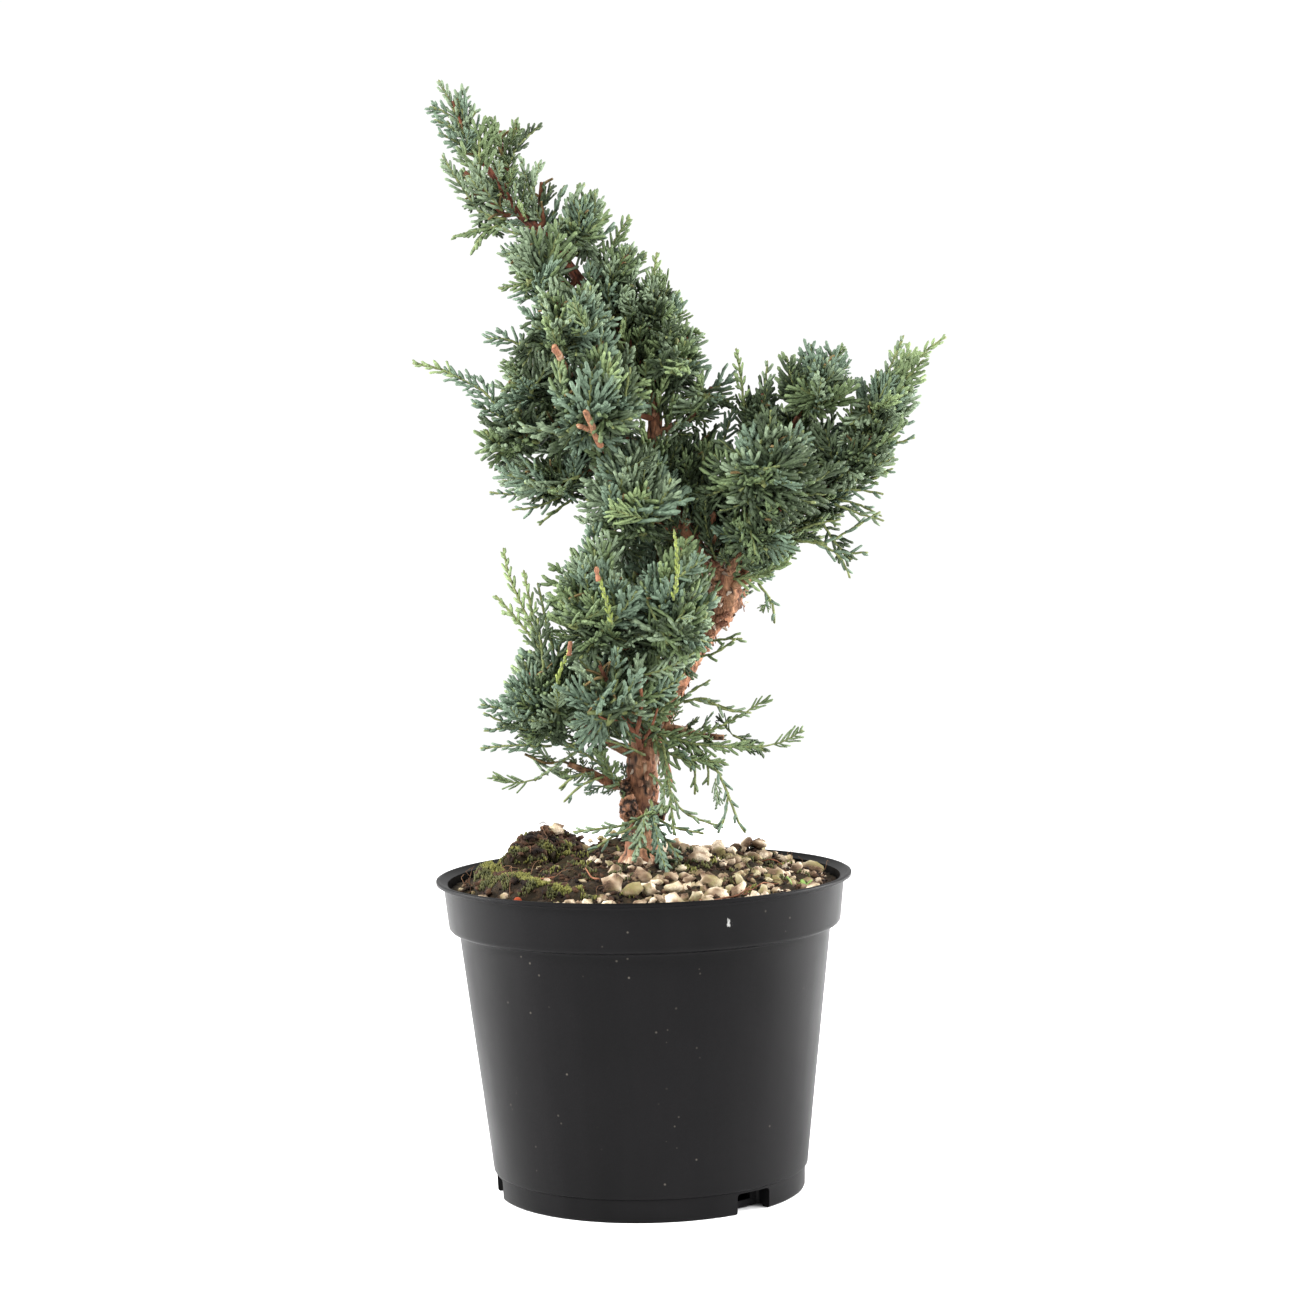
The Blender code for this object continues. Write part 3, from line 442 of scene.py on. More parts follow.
def block(angle, inner, outer, width, low, high, rounded=0.0):
    """A box that lies along a radius; sizes in millimetres."""
    shape = bmesh.new()
    bmesh.ops.create_cube(shape, size=1.0)
    bmesh.ops.scale(shape, vec=Vector((outer - inner, width, high - low)) * MM, verts=shape.verts)
    if rounded:
        bmesh.ops.bevel(
            shape, geom=shape.edges[:], offset=rounded * MM, segments=3, profile=0.5,
            affect="EDGES", material=-1,
        )
    bmesh.ops.translate(
        shape, vec=Vector(((inner + outer) / 2, 0, (low + high) / 2)) * MM, verts=shape.verts
    )
    turn = Matrix.Rotation(math.radians(angle), 3, "Z")
    bmesh.ops.rotate(shape, cent=(0, 0, 0), matrix=turn, verts=shape.verts)
    return shape


def cut(mesh, shapes, operation):
    """The mesh with each of the shapes joined on or cut away."""
    piece = add_object("cut", mesh)
    guides = []
    for shape in shapes:
        guide = add_object("guide", mesh_from("guide", shape))
        guides.append(guide)
        step = piece.modifiers.new(operation, "BOOLEAN")
        step.operation, step.object, step.solver = operation, guide, "EXACT"
    bpy.context.view_layer.update()
    seen = piece.evaluated_get(bpy.context.evaluated_depsgraph_get())
    made = bpy.data.meshes.new_from_object(seen)
    for old in (piece, *guides):
        bpy.data.objects.remove(old, do_unlink=True)
    return made


back = FOOT - 8.0
housings = [block(angle, back - 2.2, FOOT - 1.2, 23.4, 1.4, 11.6) for angle in DRAIN_ANGLES]
notches = [block(angle, back, 99.0, 19.0, -6.0, 9.4, 1.6) for angle in DRAIN_ANGLES]
slots = [block(angle, back - 5.0, back + 2.0, 9.0, 3.8, 7.8) for angle in DRAIN_ANGLES]
pot_mesh = cut(mesh_from("nursery_pot", turned(POT_OUTLINE, POT_STEPS)), housings, "UNION")
pot_mesh = cut(pot_mesh, notches + slots, "DIFFERENCE")
print("pot faces:", len(pot_mesh.polygons))

# %% [markdown]
# Black plastic isn't quite black. It has a grain too fine to see that spreads its shine, a dull
# haze where hands and soil have rubbed it, pale specks of dust, and a short scratch at the collar.
# Voronoi cells that are kept only near their middles make the specks.

# %% Black plastic
def black_plastic():
    finish = Finish("black_plastic", 0.38, 0.08)
    haze = finish.fade(finish.noise(14.0, 4.0), 0.35, 0.7)
    streaks = finish.fade(finish.noise(60.0, 3.0, place=finish.stretched((1, 1, 0.12))), 0.4, 0.75)
    cells = finish.cells(170.0)
    dust = finish.fade(cells, 0.11, 0.04) * finish.fade(finish.noise(33.0, 2.0), 0.56, 0.62)
    ends = {0: finish.place, 1: (0.036, -0.0835, 0.1335)}
    mark = finish.node("ShaderNodeVectorMath", ends, out="Value", operation="DISTANCE")
    ragged = mark + (finish.noise(900.0, 2.0, place=finish.stretched((1, 1, 0.3))) - 0.5) * 0.009
    scratch = finish.fade(ragged, 0.0012, 0.0004)
    colour = finish.blend(haze, (0.0014, 0.0013, 0.0015), (0.0028, 0.0026, 0.003))
    colour = finish.blend(streaks * 0.3, colour, (0.006, 0.0056, 0.006))
    colour = finish.blend(dust * 0.3, colour, (0.2, 0.18, 0.15))
    colour = finish.blend(scratch * 0.55, colour, (0.5, 0.5, 0.48))
    roughness = 0.36 + haze * 0.1 + streaks * 0.05 + dust * 0.3
    grain = finish.noise(1500.0, 2.0) + finish.noise(90.0, 2.0) * 0.5
    return finish.set(colour, roughness, grain, 0.00012, 0.35)


SHARP = math.radians(38)
pot_mesh.shade_smooth()
pot_mesh.set_sharp_from_angle(angle=SHARP)
piece_from("nursery_pot_shell", pot_mesh, black_plastic(), "pot", ["nursery_pot"], smooth=False)

# %% [markdown]
# ## The soil
# The soil is a low mound of dark, crumbly peat that stands just under the rim, with a gap at the
# wall where it has shrunk. A disc is spun with close rings and its top is lifted by sums of noise:
# broad swells first, then crumbs.

# %% The soil's shape
SOIL_EDGE = 141.0
SOIL_MIDDLE = 151.5
SOIL_RADIUS = 85.0


def ease(value, low, high):
    share = min(max((value - low) / (high - low), 0.0), 1.0)
    return share * share * (3 - 2 * share)


def ground(x, y):
    """The height of the soil at a place; all in millimetres."""
    radius = math.hypot(x, y)
    height = SOIL_EDGE + (SOIL_MIDDLE - SOIL_EDGE) * (1 - ease(radius, 10.0, SOIL_RADIUS))
    swell = math.sin(x * 0.09 + 1.3) * math.cos(y * 0.11 - 0.4) + 0.6 * math.sin(x * 0.21 - y * 0.17)
    turn = math.tau / 19.0
    bump = math.sin(x * turn + 0.6 * math.sin(y * 0.07)) * math.sin(y * turn + 0.8)
    heap = 1.2 + 1.1 * swell + 1.7 * bump
    heap += 9.5 * math.exp(-(((x + 20) / 22) ** 2) - ((y - 58) / 15) ** 2)
    heap += 5.5 * math.exp(-(((x - 58) / 27) ** 2) - ((y - 52) / 14) ** 2)
    return height + heap * ease(radius, 11.0, 30.0) * (1 - ease(radius, 76.0, 87.0))


def rough(place, *octaves):
    """A sum of noises, each given as how fine and how strong it is."""
    return sum(strong * noise.noise(place * fine) for fine, strong in octaves)


def crumbly(x, y):
    """The soil with its crumbs."""
    place = Vector((x, y, 0.0))
    lumps = rough(place, (0.16, 1.5), (0.42, 1.1))
    crumbs = abs(noise.noise(place * 1.0)) * 1.3 + noise.noise(place * 2.1) * 0.45
    return ground(x, y) + (0.7 * lumps + 0.8 * crumbs - 1.5) * ease(math.hypot(x, y), 5.0, 14.0)


rings = [step * 0.95 for step in range(93)]
outline = [(ring, 150.0) for ring in rings]
outline += [(88.4, 149.0), (86.8, 124.0), (82.0, 118.0), (0.0, 116.0)]
shape = turned(outline, 300)
for vertex in shape.verts:
    if vertex.co.z > 148.5 * MM:
        vertex.co.z = crumbly(vertex.co.x / MM, vertex.co.y / MM) * MM
soil_mesh = mesh_from("soil", shape)
print("soil faces:", len(soil_mesh.polygons))


# %% Peat
def peat():
    finish = Finish("peat", 0.95, 0.2)
    fibres = finish.noise(420.0, 5.0, 0.7)
    patches = finish.fade(finish.noise(45.0, 3.0), 0.35, 0.7)
    stops = (
        (0.3, (0.003, 0.002, 0.0015)), (0.5, (0.012, 0.007, 0.004)),
        (0.64, (0.034, 0.019, 0.01)), (0.8, (0.09, 0.054, 0.03)),
    )
    colour = finish.node("ShaderNodeValToRGB", {"Fac": fibres}, out="Color", stops=stops)
    colour = finish.blend(patches * 0.45, colour, (0.038, 0.032, 0.012))
    return finish.set(colour, bump=fibres, depth=0.0012, strength=0.9)


piece_from("soil_surface", soil_mesh, peat(), "fill", ["soil_and_pumice"])

# %% [markdown]
# ## Pumice, crumbs and moss
# Rough grains of cream pumice lie thickest on the right and in front. They are ragged, with pits,
# so each template is a small icosphere pushed about by noise and flattened a little. Throwing
# them one by one and keeping only those that miss the earlier ones spreads them naturally.

# %% Pumice
def grain_stamp(seed, pull):
    """A ragged grain about a unit in radius."""
    shape = bmesh.new()
    bmesh.ops.create_icosphere(shape, subdivisions=2, radius=1.0)
    for vertex in shape.verts:
        place = vertex.co * 1.1 + Vector((seed * 7.3, 0, 0))
        vertex.co *= 1 + pull * noise.noise(place) + 0.45 * pull * noise.noise(place * 2.7)
    bmesh.ops.scale(shape, vec=(1.12, 0.82 + 0.2 * math.sin(seed), 0.68), verts=shape.verts)
    return Stamp(shape)


def turned_at_random():
    """A heading near the upright, and a direction across it."""
    along = Vector((rng.gauss(0, 0.5), rng.gauss(0, 0.5), 1.0)).normalized()
    angle = rng.uniform(0, math.tau)
    return along, Vector((math.cos(angle), math.sin(angle), 0.0))


def in_moss(x, y):
    """Whether a place lies on one of the cushions of moss."""
    radius, angle = math.hypot(x, y), math.degrees(math.atan2(y, x)) % 360
    ridge = 172 < angle < 246 and abs(radius - 71) < 9
    lump = 117 < angle < 168 and abs(radius - 60) < 15
    return ridge or lump


def pumice_share(x, y):
    """How thickly the pumice lies at a place, from 0 to 1."""
    right_side = ease(x, -22.0, 4.0)
    front_rim = ease(-y, 46.0, 66.0) * 0.9
    drift = ease(noise.noise(Vector((x, y, 5)) * 0.06), -0.25, 0.1)
    return max(right_side, front_rim, 0.16) * (0.3 + 0.7 * drift)


def round_about(radius, angle):
    """The x and y of a place at this distance and angle."""
    return radius * math.cos(angle), radius * math.sin(angle)


def scatter(count, sizes, spacing, on_moss, elsewhere=lambda x, y: 1.0, kept=()):
    """Places for `count` things, none closer than their sizes allow.

    A throw is kept with one chance on the moss, and with another elsewhere.
    """
    places = list(kept)
    tries = 0
    while len(places) < count + len(kept) and tries < count * 40:
        tries += 1
        radius = 84.0 * math.sqrt(rng.random())
        angle = rng.uniform(0, math.tau)
        x, y = round_about(radius, angle)
        size = rng.uniform(*sizes) * rng.uniform(0.75, 1.2)
        if radius + size > 85.5 or radius < 8.5 + size:
            continue
        if rng.random() > (on_moss if in_moss(x, y) else elsewhere(x, y)):
            continue
        if all(math.hypot(x - a, y - b) > spacing * (size + c) for a, b, c in places):
            places.append((x, y, size))
    return places


rng = random.Random(SEED)
grains = [grain_stamp(number, 0.8) for number in range(10)]
LARGE_GRAINS = (  # x, y, size
    (23, -73, 3.1), (41, -55, 3.4), (31, -60, 3.9), (14, -61, 3.6), (-2, -77, 3.0), (-17, -79, 2.9),
    (-24, -74, 2.5), (-32, -72, 2.3), (-38, 60, 4.2), (-72, -42, 2.8), (61, -16, 3.4), (70, 6, 3.2),
    (75, -40, 3.6), (55, 58, 3.4), (49, 50, 3.0), (-30, 46, 3.6), (-14, -54, 3.8), (67, -26, 3.0),
    (20, -42, 3.2), (36, -34, 3.0), (-60, -50, 2.6),
)
stones = scatter(135, (1.8, 3.4), 0.84, 0.0, pumice_share, LARGE_GRAINS)
stones = scatter(250, (0.8, 1.8), 0.75, 0.05, pumice_share, stones)


def pumice():
    finish = Finish("pumice", 0.9, 0.3)
    lump = finish.noise(130.0, 1.0)
    tint = finish.noise(55.0, 2.0)
    pits = finish.noise(1100.0, 4.0, 0.7)
    stops = (
        (0.3, (0.045, 0.025, 0.013)), (0.42, (0.13, 0.085, 0.05)),
        (0.53, (0.34, 0.265, 0.18)), (0.66, (0.66, 0.56, 0.43)),
    )
    colour = finish.node("ShaderNodeValToRGB", {"Fac": lump}, out="Color", stops=stops)
    colour = finish.blend(finish.fade(tint, 0.5, 0.62) * 0.6, colour, (0.17, 0.165, 0.05))
    colour = finish.blend(finish.fade(pits, 0.52, 0.36) * 0.6, colour, (0.22, 0.13, 0.08))
    return finish.set(colour, bump=pits, depth=0.0006, strength=0.8)


heap = Heap("pumice_grains", pumice(), "fill")
for x, y, size in stones:
    stamp = rng.choice(grains)
    along, across = turned_at_random()
    place = (x * MM, y * MM, (ground(x, y) - 1.2 + size * 0.4 + 2.6 * ease(y, 30, 56)) * MM)
    heap.lay(stamp, place, along, across, size * 1.08 * MM)
stamp, place = grains[3], Vector((-41.5, 41.0, 161.5)) * MM  # one pale grain lies on the moss lump
heap.lay(stamp, place, Vector((0, 0, 1)), Vector((1, 0, 0)), 4.0 * MM)
heap.make()
print("grains of pumice:", len(stones))

# %% [markdown]
# Crumbs of peat and bark lie everywhere between the grains. Rounder and smaller templates do for
# them, in dark browns.

# %% Crumbs
def brown(name, dark, light):
    finish = Finish(name, 0.95, 0.2)
    grain = finish.noise(900.0, 4.0, 0.65)
    tone = finish.fade(finish.noise(170.0, 1.0), 0.35, 0.65)
    return finish.set(finish.blend(tone, dark, light), bump=grain, depth=0.0005, strength=0.8)


def crumb_stamp(seed):
    shape = bmesh.new()
    bmesh.ops.create_icosphere(shape, subdivisions=1, radius=1.0)
    for vertex in shape.verts:
        vertex.co *= 1 + 0.6 * noise.noise(vertex.co * 1.3 + Vector((0, seed * 5.1, 0)))
    bmesh.ops.scale(shape, vec=(1.3, 0.8, 0.7), verts=shape.verts)
    return Stamp(shape)


crumbs = [crumb_stamp(number) for number in range(6)]
crumb_finish = brown("crumbs", (0.007, 0.004, 0.003), (0.06, 0.03, 0.016))
heap = Heap("peat_crumbs", crumb_finish, "fill")
for x, y, size in scatter(1700, (0.5, 1.5), 0.5, 0.2):
    stamp = rng.choice(crumbs)
    along, across = turned_at_random()
    lift = size * rng.uniform(0.1, 0.9)
    place = (x * MM, y * MM, (crumbly(x, y) + lift) * MM)
    heap.lay(stamp, place, along, across, size * MM)
heap.make()

# %% [markdown]
# Moss grows at the left: a bright ridge near the rim, and behind it a higher lump of dark peat
# with moss on its top. Both are banks of crumbly peat, made from a tube along an arc that is
# squashed, roughened and cut flat below. Moss is velvety because of its many tiny upright shoots,
# so it is made of them: cones of four sides with a blunt tip.

# %% Moss
MOSS = {  # from, to in degrees; radius of the arc, width, height
    "moss_ridge": (172, 248, 71, 9.5, 10.5),
    "moss_lump": (119, 166, 60, 15, 18),
}
BANK_TOP = 0.143
CROWN_OF_LUMP = 0.162


def green(name, dark, light, scale=300.0, roughness=0.8):
    finish = Finish(name, roughness, 0.3)
    tone = finish.fade(finish.noise(scale, 3.0), 0.32, 0.68)
    fine = finish.noise(1500.0, 3.0)
    return finish.set(finish.blend(tone, dark, light), bump=fine, depth=0.0003, strength=0.5)


def bank_shape(name, start, end, radius, width, height):
    """A bank along an arc, with a lumpy top."""
    run, widths = [], []
    for step in range(31):
        share = step / 30
        x, y = round_about(radius, math.radians(start + (end - start) * share))
        run.append(Vector((x, y, ground(x, y) - 0.8)) * MM)
        widths.append(width * MM * (0.42 + 0.5 * math.sin(math.pi * share)))
    shape = curve_mesh(name, [(run, widths)], 9)
    base = sum(point.z for point in run) / len(run)
    for vertex in shape.verts:
        place = vertex.co / MM
        vertex.co.z = base + (vertex.co.z - base) * 0.92 * height / width
        lumps = rough(place, (0.13, 3.4), (0.33, 2.6), (0.9, 1.1))
        vertex.co += vertex.normal * lumps * height / 14 * MM
    bmesh.ops.bisect_plane(
        shape, geom=shape.verts[:] + shape.edges[:] + shape.faces[:],
        plane_co=(0, 0, base - 3 * MM), plane_no=(0, 0, 1), clear_inner=True,
    )
    bmesh.ops.contextual_create(shape, geom=[edge for edge in shape.edges if edge.is_boundary])
    return shape


def shoot_stamp(sides, blunt):
    shape = bmesh.new()
    bmesh.ops.create_cone(shape, cap_ends=True, segments=sides, radius1=0.3, radius2=blunt, depth=1.0)
    bmesh.ops.translate(shape, vec=(0, 0, 0.5), verts=shape.verts)
    return Stamp(shape)


def plant_moss(heap, place, normal, size):
    stamp = rng.choice(moss_shoots)
    along = normal * 0.5 + Vector((rng.gauss(0, 0.35), rng.gauss(0, 0.35), 0.7 + rng.random()))
    heap.lay(stamp, place, along, Vector((1, 0.1, 0)), size * MM)


moss_shoots = [shoot_stamp(4, 0.2), shoot_stamp(4, 0.1)]
bright, dark = ((0.055, 0.058, 0.01), (0.165, 0.16, 0.034)), ((0.024, 0.028, 0.008), (0.08, 0.08, 0.02))
bright_moss = Heap("moss_shoots_bright", green("bright_moss", *bright), "moss")
dark_moss = Heap("moss_shoots_dark", green("dark_moss", *dark), "moss")
bank_peat = peat()
banks = []
for name, sizes in MOSS.items():
    shape = bank_shape(name, *sizes)
    shape.faces.ensure_lookup_table()
    tops = [
        face for face in shape.faces if face.normal.z > 0.0 and face.calc_center_median().z > BANK_TOP
    ]
    for face in rng.choices(tops, [face.calc_area() for face in tops], k=3400):
        corners = [vertex.co for vertex in face.verts]
        share = rng.random()
        near, far = corners[0].lerp(corners[1], share), corners[-1].lerp(corners[-2], share)
        place = near.lerp(far, rng.random())
        radius, grows = math.hypot(place.x, place.y) / MM, noise.noise(place / MM * 0.11)
        if name == "moss_ridge":
            crest = abs(radius - 70 + 2.5 * noise.noise(place / MM * 0.08)) < 3.4
            if crest:
                plant_moss(bright_moss, place, face.normal, rng.uniform(1.0, 2.1))
            elif grows > 0.12:
                plant_moss(dark_moss, place, face.normal, rng.uniform(0.9, 1.8))
        elif grows > -0.02:
            # bright moss goes to patches that noise picks, and, as painted light, to some shoots on the
            # lump's top
            bright_patch_or_lit_top = grows > 0.2 or place.z > CROWN_OF_LUMP and rng.random() < 0.3
            heap = bright_moss if bright_patch_or_lit_top else dark_moss
            plant_moss(heap, place, face.normal, rng.uniform(0.9, 2.0))
    banks.append(piece_from(name + "_bank", shape, bank_peat, "moss", [name]))

for x, y, size in scatter(80, (2.0, 4.5), 0.8, 0.0):
    tuft = dark_moss if rng.random() < 0.6 else bright_moss
    for _ in range(int(size * size * 1.5)):
        angle, out = rng.uniform(0, math.tau), size * math.sqrt(rng.random())
        aside, off = round_about(out, angle)
        a, b = x + aside, y + off
        if 9 < math.hypot(a, b) < SOIL_RADIUS:
            place = Vector((a, b, ground(a, b) - 0.8 + 1.4 * (1 - out / size))) * MM
            plant_moss(tuft, place, Vector((0, 0, 1)), rng.uniform(0.9, 1.9))
bright_moss.make()
dark_moss.make()

# %% [markdown]
# Crumbs of peat roll over everything. On the banks they need the height of the bank below them,
# which a ray straight down finds.

# %% Crumbs on the banks
def on_bank(x, y):
    """The height of the bank at a place, or nothing where there is none."""
    for bank in banks:
        hit, place, _, _ = bank.ray_cast(Vector((x, y, 300)) * MM, Vector((0, 0, -1)))
        if hit:
            return place.z / MM
    return None


heap = Heap("bank_crumbs", crumb_finish, "moss")
bpy.context.view_layer.update()
for _ in range(1300):
    x, y = round_about(rng.uniform(42, 82), math.radians(rng.uniform(122, 250)))
    height = on_bank(x, y)
    if height and noise.noise(Vector((x, y, height)) * 0.11) < 0.14:
        stamp, size = rng.choice(crumbs), rng.uniform(0.5, 2.3)
        along, across = turned_at_random()
        place = Vector((x, y, height + 0.3 * size)) * MM
        heap.lay(stamp, place, along, across, size * MM)
heap.make()

# %% [markdown]
# The last things on the soil are slight but they make it look alive: dead roots and hairs that
# curl over the peat, a few thin red-brown twigs that lie across the grains, one round red grain
# of feed, and a seedling with a few small leaves.

# %% Hairs and fallen twigs
UPRIGHTS = (  # hairs that stand up: angle, radius, height
    (28, 78, 10), (31, 80, 7), (24, 81, 6), (150, 70, 5), (160, 66, 6), (172, 81, 7), (178, 80, 9),
    (184, 82, 6), (190, 80, 7),
)
FALLEN = (  # fallen twigs: start, angle, length, sway, lift, radius
    ((24, -76), 0.35, 46, 0.07, 1.6, 0.55), ((40, -60), 0.9, 30, 0.1, 1.0, 0.45),
    ((52, 20), -0.4, 26, 0.12, 1.2, 0.5), ((-20, -40), 2.4, 22, 0.2, 1.0, 0.5),
    ((20, 30), 0.3, 24, 0.2, 1.0, 0.5), ((-40, -30), 3.3, 26, 0.2, 1.5, 0.5),
)


def top_at(x, y):
    return max(ground(x, y), on_bank(x, y) or 0.0)


def lying(start, angle, length, sway, lift, radius):
    """A thin curved thing that lies on the soil, from a start in millimetres."""
    x, y = start
    run = []
    for step in range(9):
        base = top_at(x, y) if math.hypot(x, y) < 84 else 146.0
        height = base + 0.4 + lift * math.sin(math.pi * step / 8) + rng.uniform(-0.2, 0.3)
        run.append(Vector((x, y, height)) * MM)
        angle += rng.gauss(0, sway)
        ahead = (x + math.cos(angle) * length / 8, y + math.sin(angle) * length / 8)
        if math.hypot(*ahead) < SOIL_RADIUS:
            x, y = ahead
        else:
            angle += math.pi / 2
    return smooth_run(run, 2), [radius * MM * (1 - 0.05 * step) for step in range(17)]


hairs = []
for _ in range(34):
    left = rng.random() < 0.65
    radius = rng.uniform(40, 80)
    start = round_about(radius, math.radians(rng.uniform(125, 255) if left else rng.uniform(-60, 80)))
    angle, length = rng.uniform(0, math.tau), rng.uniform(9, 22)
    hairs.append(lying(start, angle, length, 0.55, rng.uniform(0.5, 4.5), rng.uniform(0.12, 0.24)))
for angle, radius, height in UPRIGHTS:
    x, y = round_about(radius, math.radians(angle))
    foot = top_at(x, y) - 1
    run = []
    for step in range(5):
        sway = step * step * rng.uniform(-0.25, 0.25)
        run.append(Vector((x + sway, y + 0.4 * step, foot + height * step / 4)) * MM)
    hairs.append((run, [0.2 * MM * (1 - 0.12 * step) for step in range(5)]))
hair_finish = brown("dead_roots", (0.05, 0.025, 0.014), (0.2, 0.11, 0.06))
piece_from("dead_roots", curve_mesh("dead_roots", hairs, 0), hair_finish, "fill")
fallen = [lying(*row) for row in FALLEN]
fallen_finish = brown("fallen_twigs", (0.07, 0.028, 0.016), (0.26, 0.11, 0.06))
piece_from("fallen_twigs", curve_mesh("fallen_twigs", fallen, 1), fallen_finish, "fill")

# %% [markdown]
# The grain is a ball. Each leaf of the seedling is a small grid, narrowed and bent along both of
# its ways, that leans out from the stalk's place.

# %% A grain of feed and a seedling
FEED = (-55.5, -62.0)
LEAVES = (  # angle, lean, x, y
    (20, 50, 72, -33), (140, 60, 72, -33), (260, 45, 72, -33), (320, 70, 72, -33), (90, 30, 66, -40),
)
shape = bmesh.new()
spot = Matrix.Translation(Vector((*FEED, ground(*FEED) + 1.6)) * MM)
bmesh.ops.create_uvsphere(shape, u_segments=20, v_segments=12, radius=1.9 * MM, matrix=spot)
feed_finish = brown("grain_of_feed", (0.2, 0.035, 0.012), (0.3, 0.06, 0.02))
piece_from("grain_of_feed", shape, feed_finish, "fill")

shape = bmesh.new()
for angle, lean, x, y in LEAVES:
    made = bmesh.ops.create_grid(shape, x_segments=4, y_segments=4, size=1.0)["verts"]
    for vertex in made:
        a, b, _ = vertex.co
        bend = 0.4 - 0.5 * a * a - 0.25 * b * b
        vertex.co = Vector((a * (1 - 0.45 * b * b) * 1.3, b * 2.1 + 2.3, bend)) * MM
    turn = Matrix.Rotation(math.radians(angle), 3, "Z")
    turn = turn @ Matrix.Rotation(math.radians(90 - lean), 3, "X")
    bmesh.ops.rotate(shape, cent=(0, 0, 0), matrix=turn, verts=made)
    bmesh.ops.translate(shape, vec=Vector((x, y, ground(x, y) + 0.5)) * MM, verts=made)
bmesh.ops.solidify(shape, geom=shape.faces[:], thickness=0.25 * MM)
seedling_finish = green("seedling_leaf", (0.09, 0.16, 0.03), (0.2, 0.3, 0.07), 400.0, 0.5)
piece_from("seedling", shape, seedling_finish, "moss")

# %% [markdown]
# ## The trunk and boughs
# The trunk leaves the soil upright, swings right to a gnarled knuckle, doubles back to the left
# and thins to a leaning leader. Its bends keep close to those of the solid. A smooth curve is
# drawn through them, and a tapering tube along it gives a clean skin to carve bark into.

# %% Bends
TIP = 1.0
TRUNK_BENDS = (  # x, y, z, radius
    (-0.3, 0, 148, 10.2), (-0.2, 0, 153, 9.2), (-0.2, 0, 157, 7.8),
    (0, 0.5, 178, 7.1), (2, 1.5, 203, 7.3), (11, 3, 223.5, 6.7),
    (21, 5, 240, 5.9), (31, 5.5, 255.5, 5.3), (39.8, 4, 268.5, 7.2),
    (39.5, 1, 279.5, 7.6), (30.5, -2, 287.5, 5.8), (24, -4, 297, 4.8),
    (14.5, -4.5, 315, 4.1), (7.2, -3, 332, 3.5), (10.2, 0, 349, 3.2),
    (8.6, 2.5, 362, 3.1), (-3.5, 4, 389.5, 2.9), (-20, 2, 412.5, 2.6),
    (-36, -1, 434, 2.3), (-49.5, -3, 447, 1.9), (-57.5, -4, 459.5, 1.6),
    (-65, -4, 470.5, 1.2),
)
BOUGHS = {  # height of its foot on the trunk, radius there and at the tip, bends
    "right_front_bough": (279.0, 2.8, 2.0, ((45, -11, 286), (54, -14, 297), (62, -18, 308))),
    "right_top_bough": (284.0, 2.8, 1.8, ((44, 9, 297), (55, 12, 315), (66, 11, 335))),
    "right_tip_bough": (271.0, 2.4, 1.6, ((50, 6, 284), (63, 3, 297), (79, 3, 311), (94, 3, 326))),
    "right_back_bough": (264.0, 2.5, 1.6, ((46, 19, 275), (55, 25, 294), (63, 29, 314))),
    "right_low_bough": (266.0, 1.9, 1.2, ((48, -4, 280), (58, -8, 292), (72, -9, 303))),
    "column_bough": (289.0, 2.0, 1.3, ((34, 7, 298), (31, 8, 308), (29, 7, 316))),
    "crown_left_bough": (311.0, 2.4, 1.4, ((4, -9, 311), (-7, -8, 316), (-14, -7, 325))),
    "crown_right_bough": (344.0, 1.9, 1.3, ((16, -1, 348), (22, -2, 350))),
    "mid_front_bough": (228.0, 3.0, 1.7, ((7, -9, 233), (-1, -16, 242), (-6, -21, 252))),
    "lower_left_bough": (197.0, 2.6, 1.5, ((-9, -4, 203), (-20, -9, 210), (-29, -13, 217))),
    "low_left_bough": (184.0, 2.8, 1.3, ((-13, -3, 187), (-24, -6, 193), (-33, -8, 197))),
    "low_right_bough": (212.0, 2.4, 1.3, ((17, -3, 211), (28, -5, 208), (38, -6, 207))),
    "hanging_bough": (206.5, 2.0, 1.2, ((8, -11, 203), (12, -16, 194), (13, -18, 186))),
}


class Limb:
    """A tapering limb: its points, its radii, and how to find a place on it."""

    def __init__(self, name, bends, radii, steps=8):
        self.name = name
        self.points = smooth_run(bends, steps)
        self.radii = smooth_run(radii, steps)
        lengths = [(b - a).length for a, b in zip(self.points, self.points[1:])]
        self.marks = np.concatenate(([0.0], np.cumsum(lengths)))

    def at_share(self, share):
        mark = share * self.marks[-1]
        index = min(int(np.searchsorted(self.marks, mark, "right")) - 1, len(self.points) - 2)
        part = (mark - self.marks[index]) / max(self.marks[index + 1] - self.marks[index], 1e-9)
        return self.between(index, min(part, 1.0))

    def at_height(self, height):
        for index, (low, high) in enumerate(zip(self.points, self.points[1:])):
            if low.z <= height <= high.z:
                return self.between(index, (height - low.z) / (high.z - low.z))
        return self.between(len(self.points) - 2, 1.0)

    def between(self, index, part):
        start, end = self.points[index], self.points[index + 1]
        radius = self.radii[index] * (1 - part) + self.radii[index + 1] * part
        return start.lerp(end, part), (end - start).normalized(), radius

    def evenly(self, step):
        """The limb read again at equal steps, for a skin with even rings."""
        count = max(int(self.marks[-1] / step), 6)
        reads = [self.at_share(number / count) for number in range(count + 1)]
        return [read[0] for read in reads], [read[2] for read in reads]


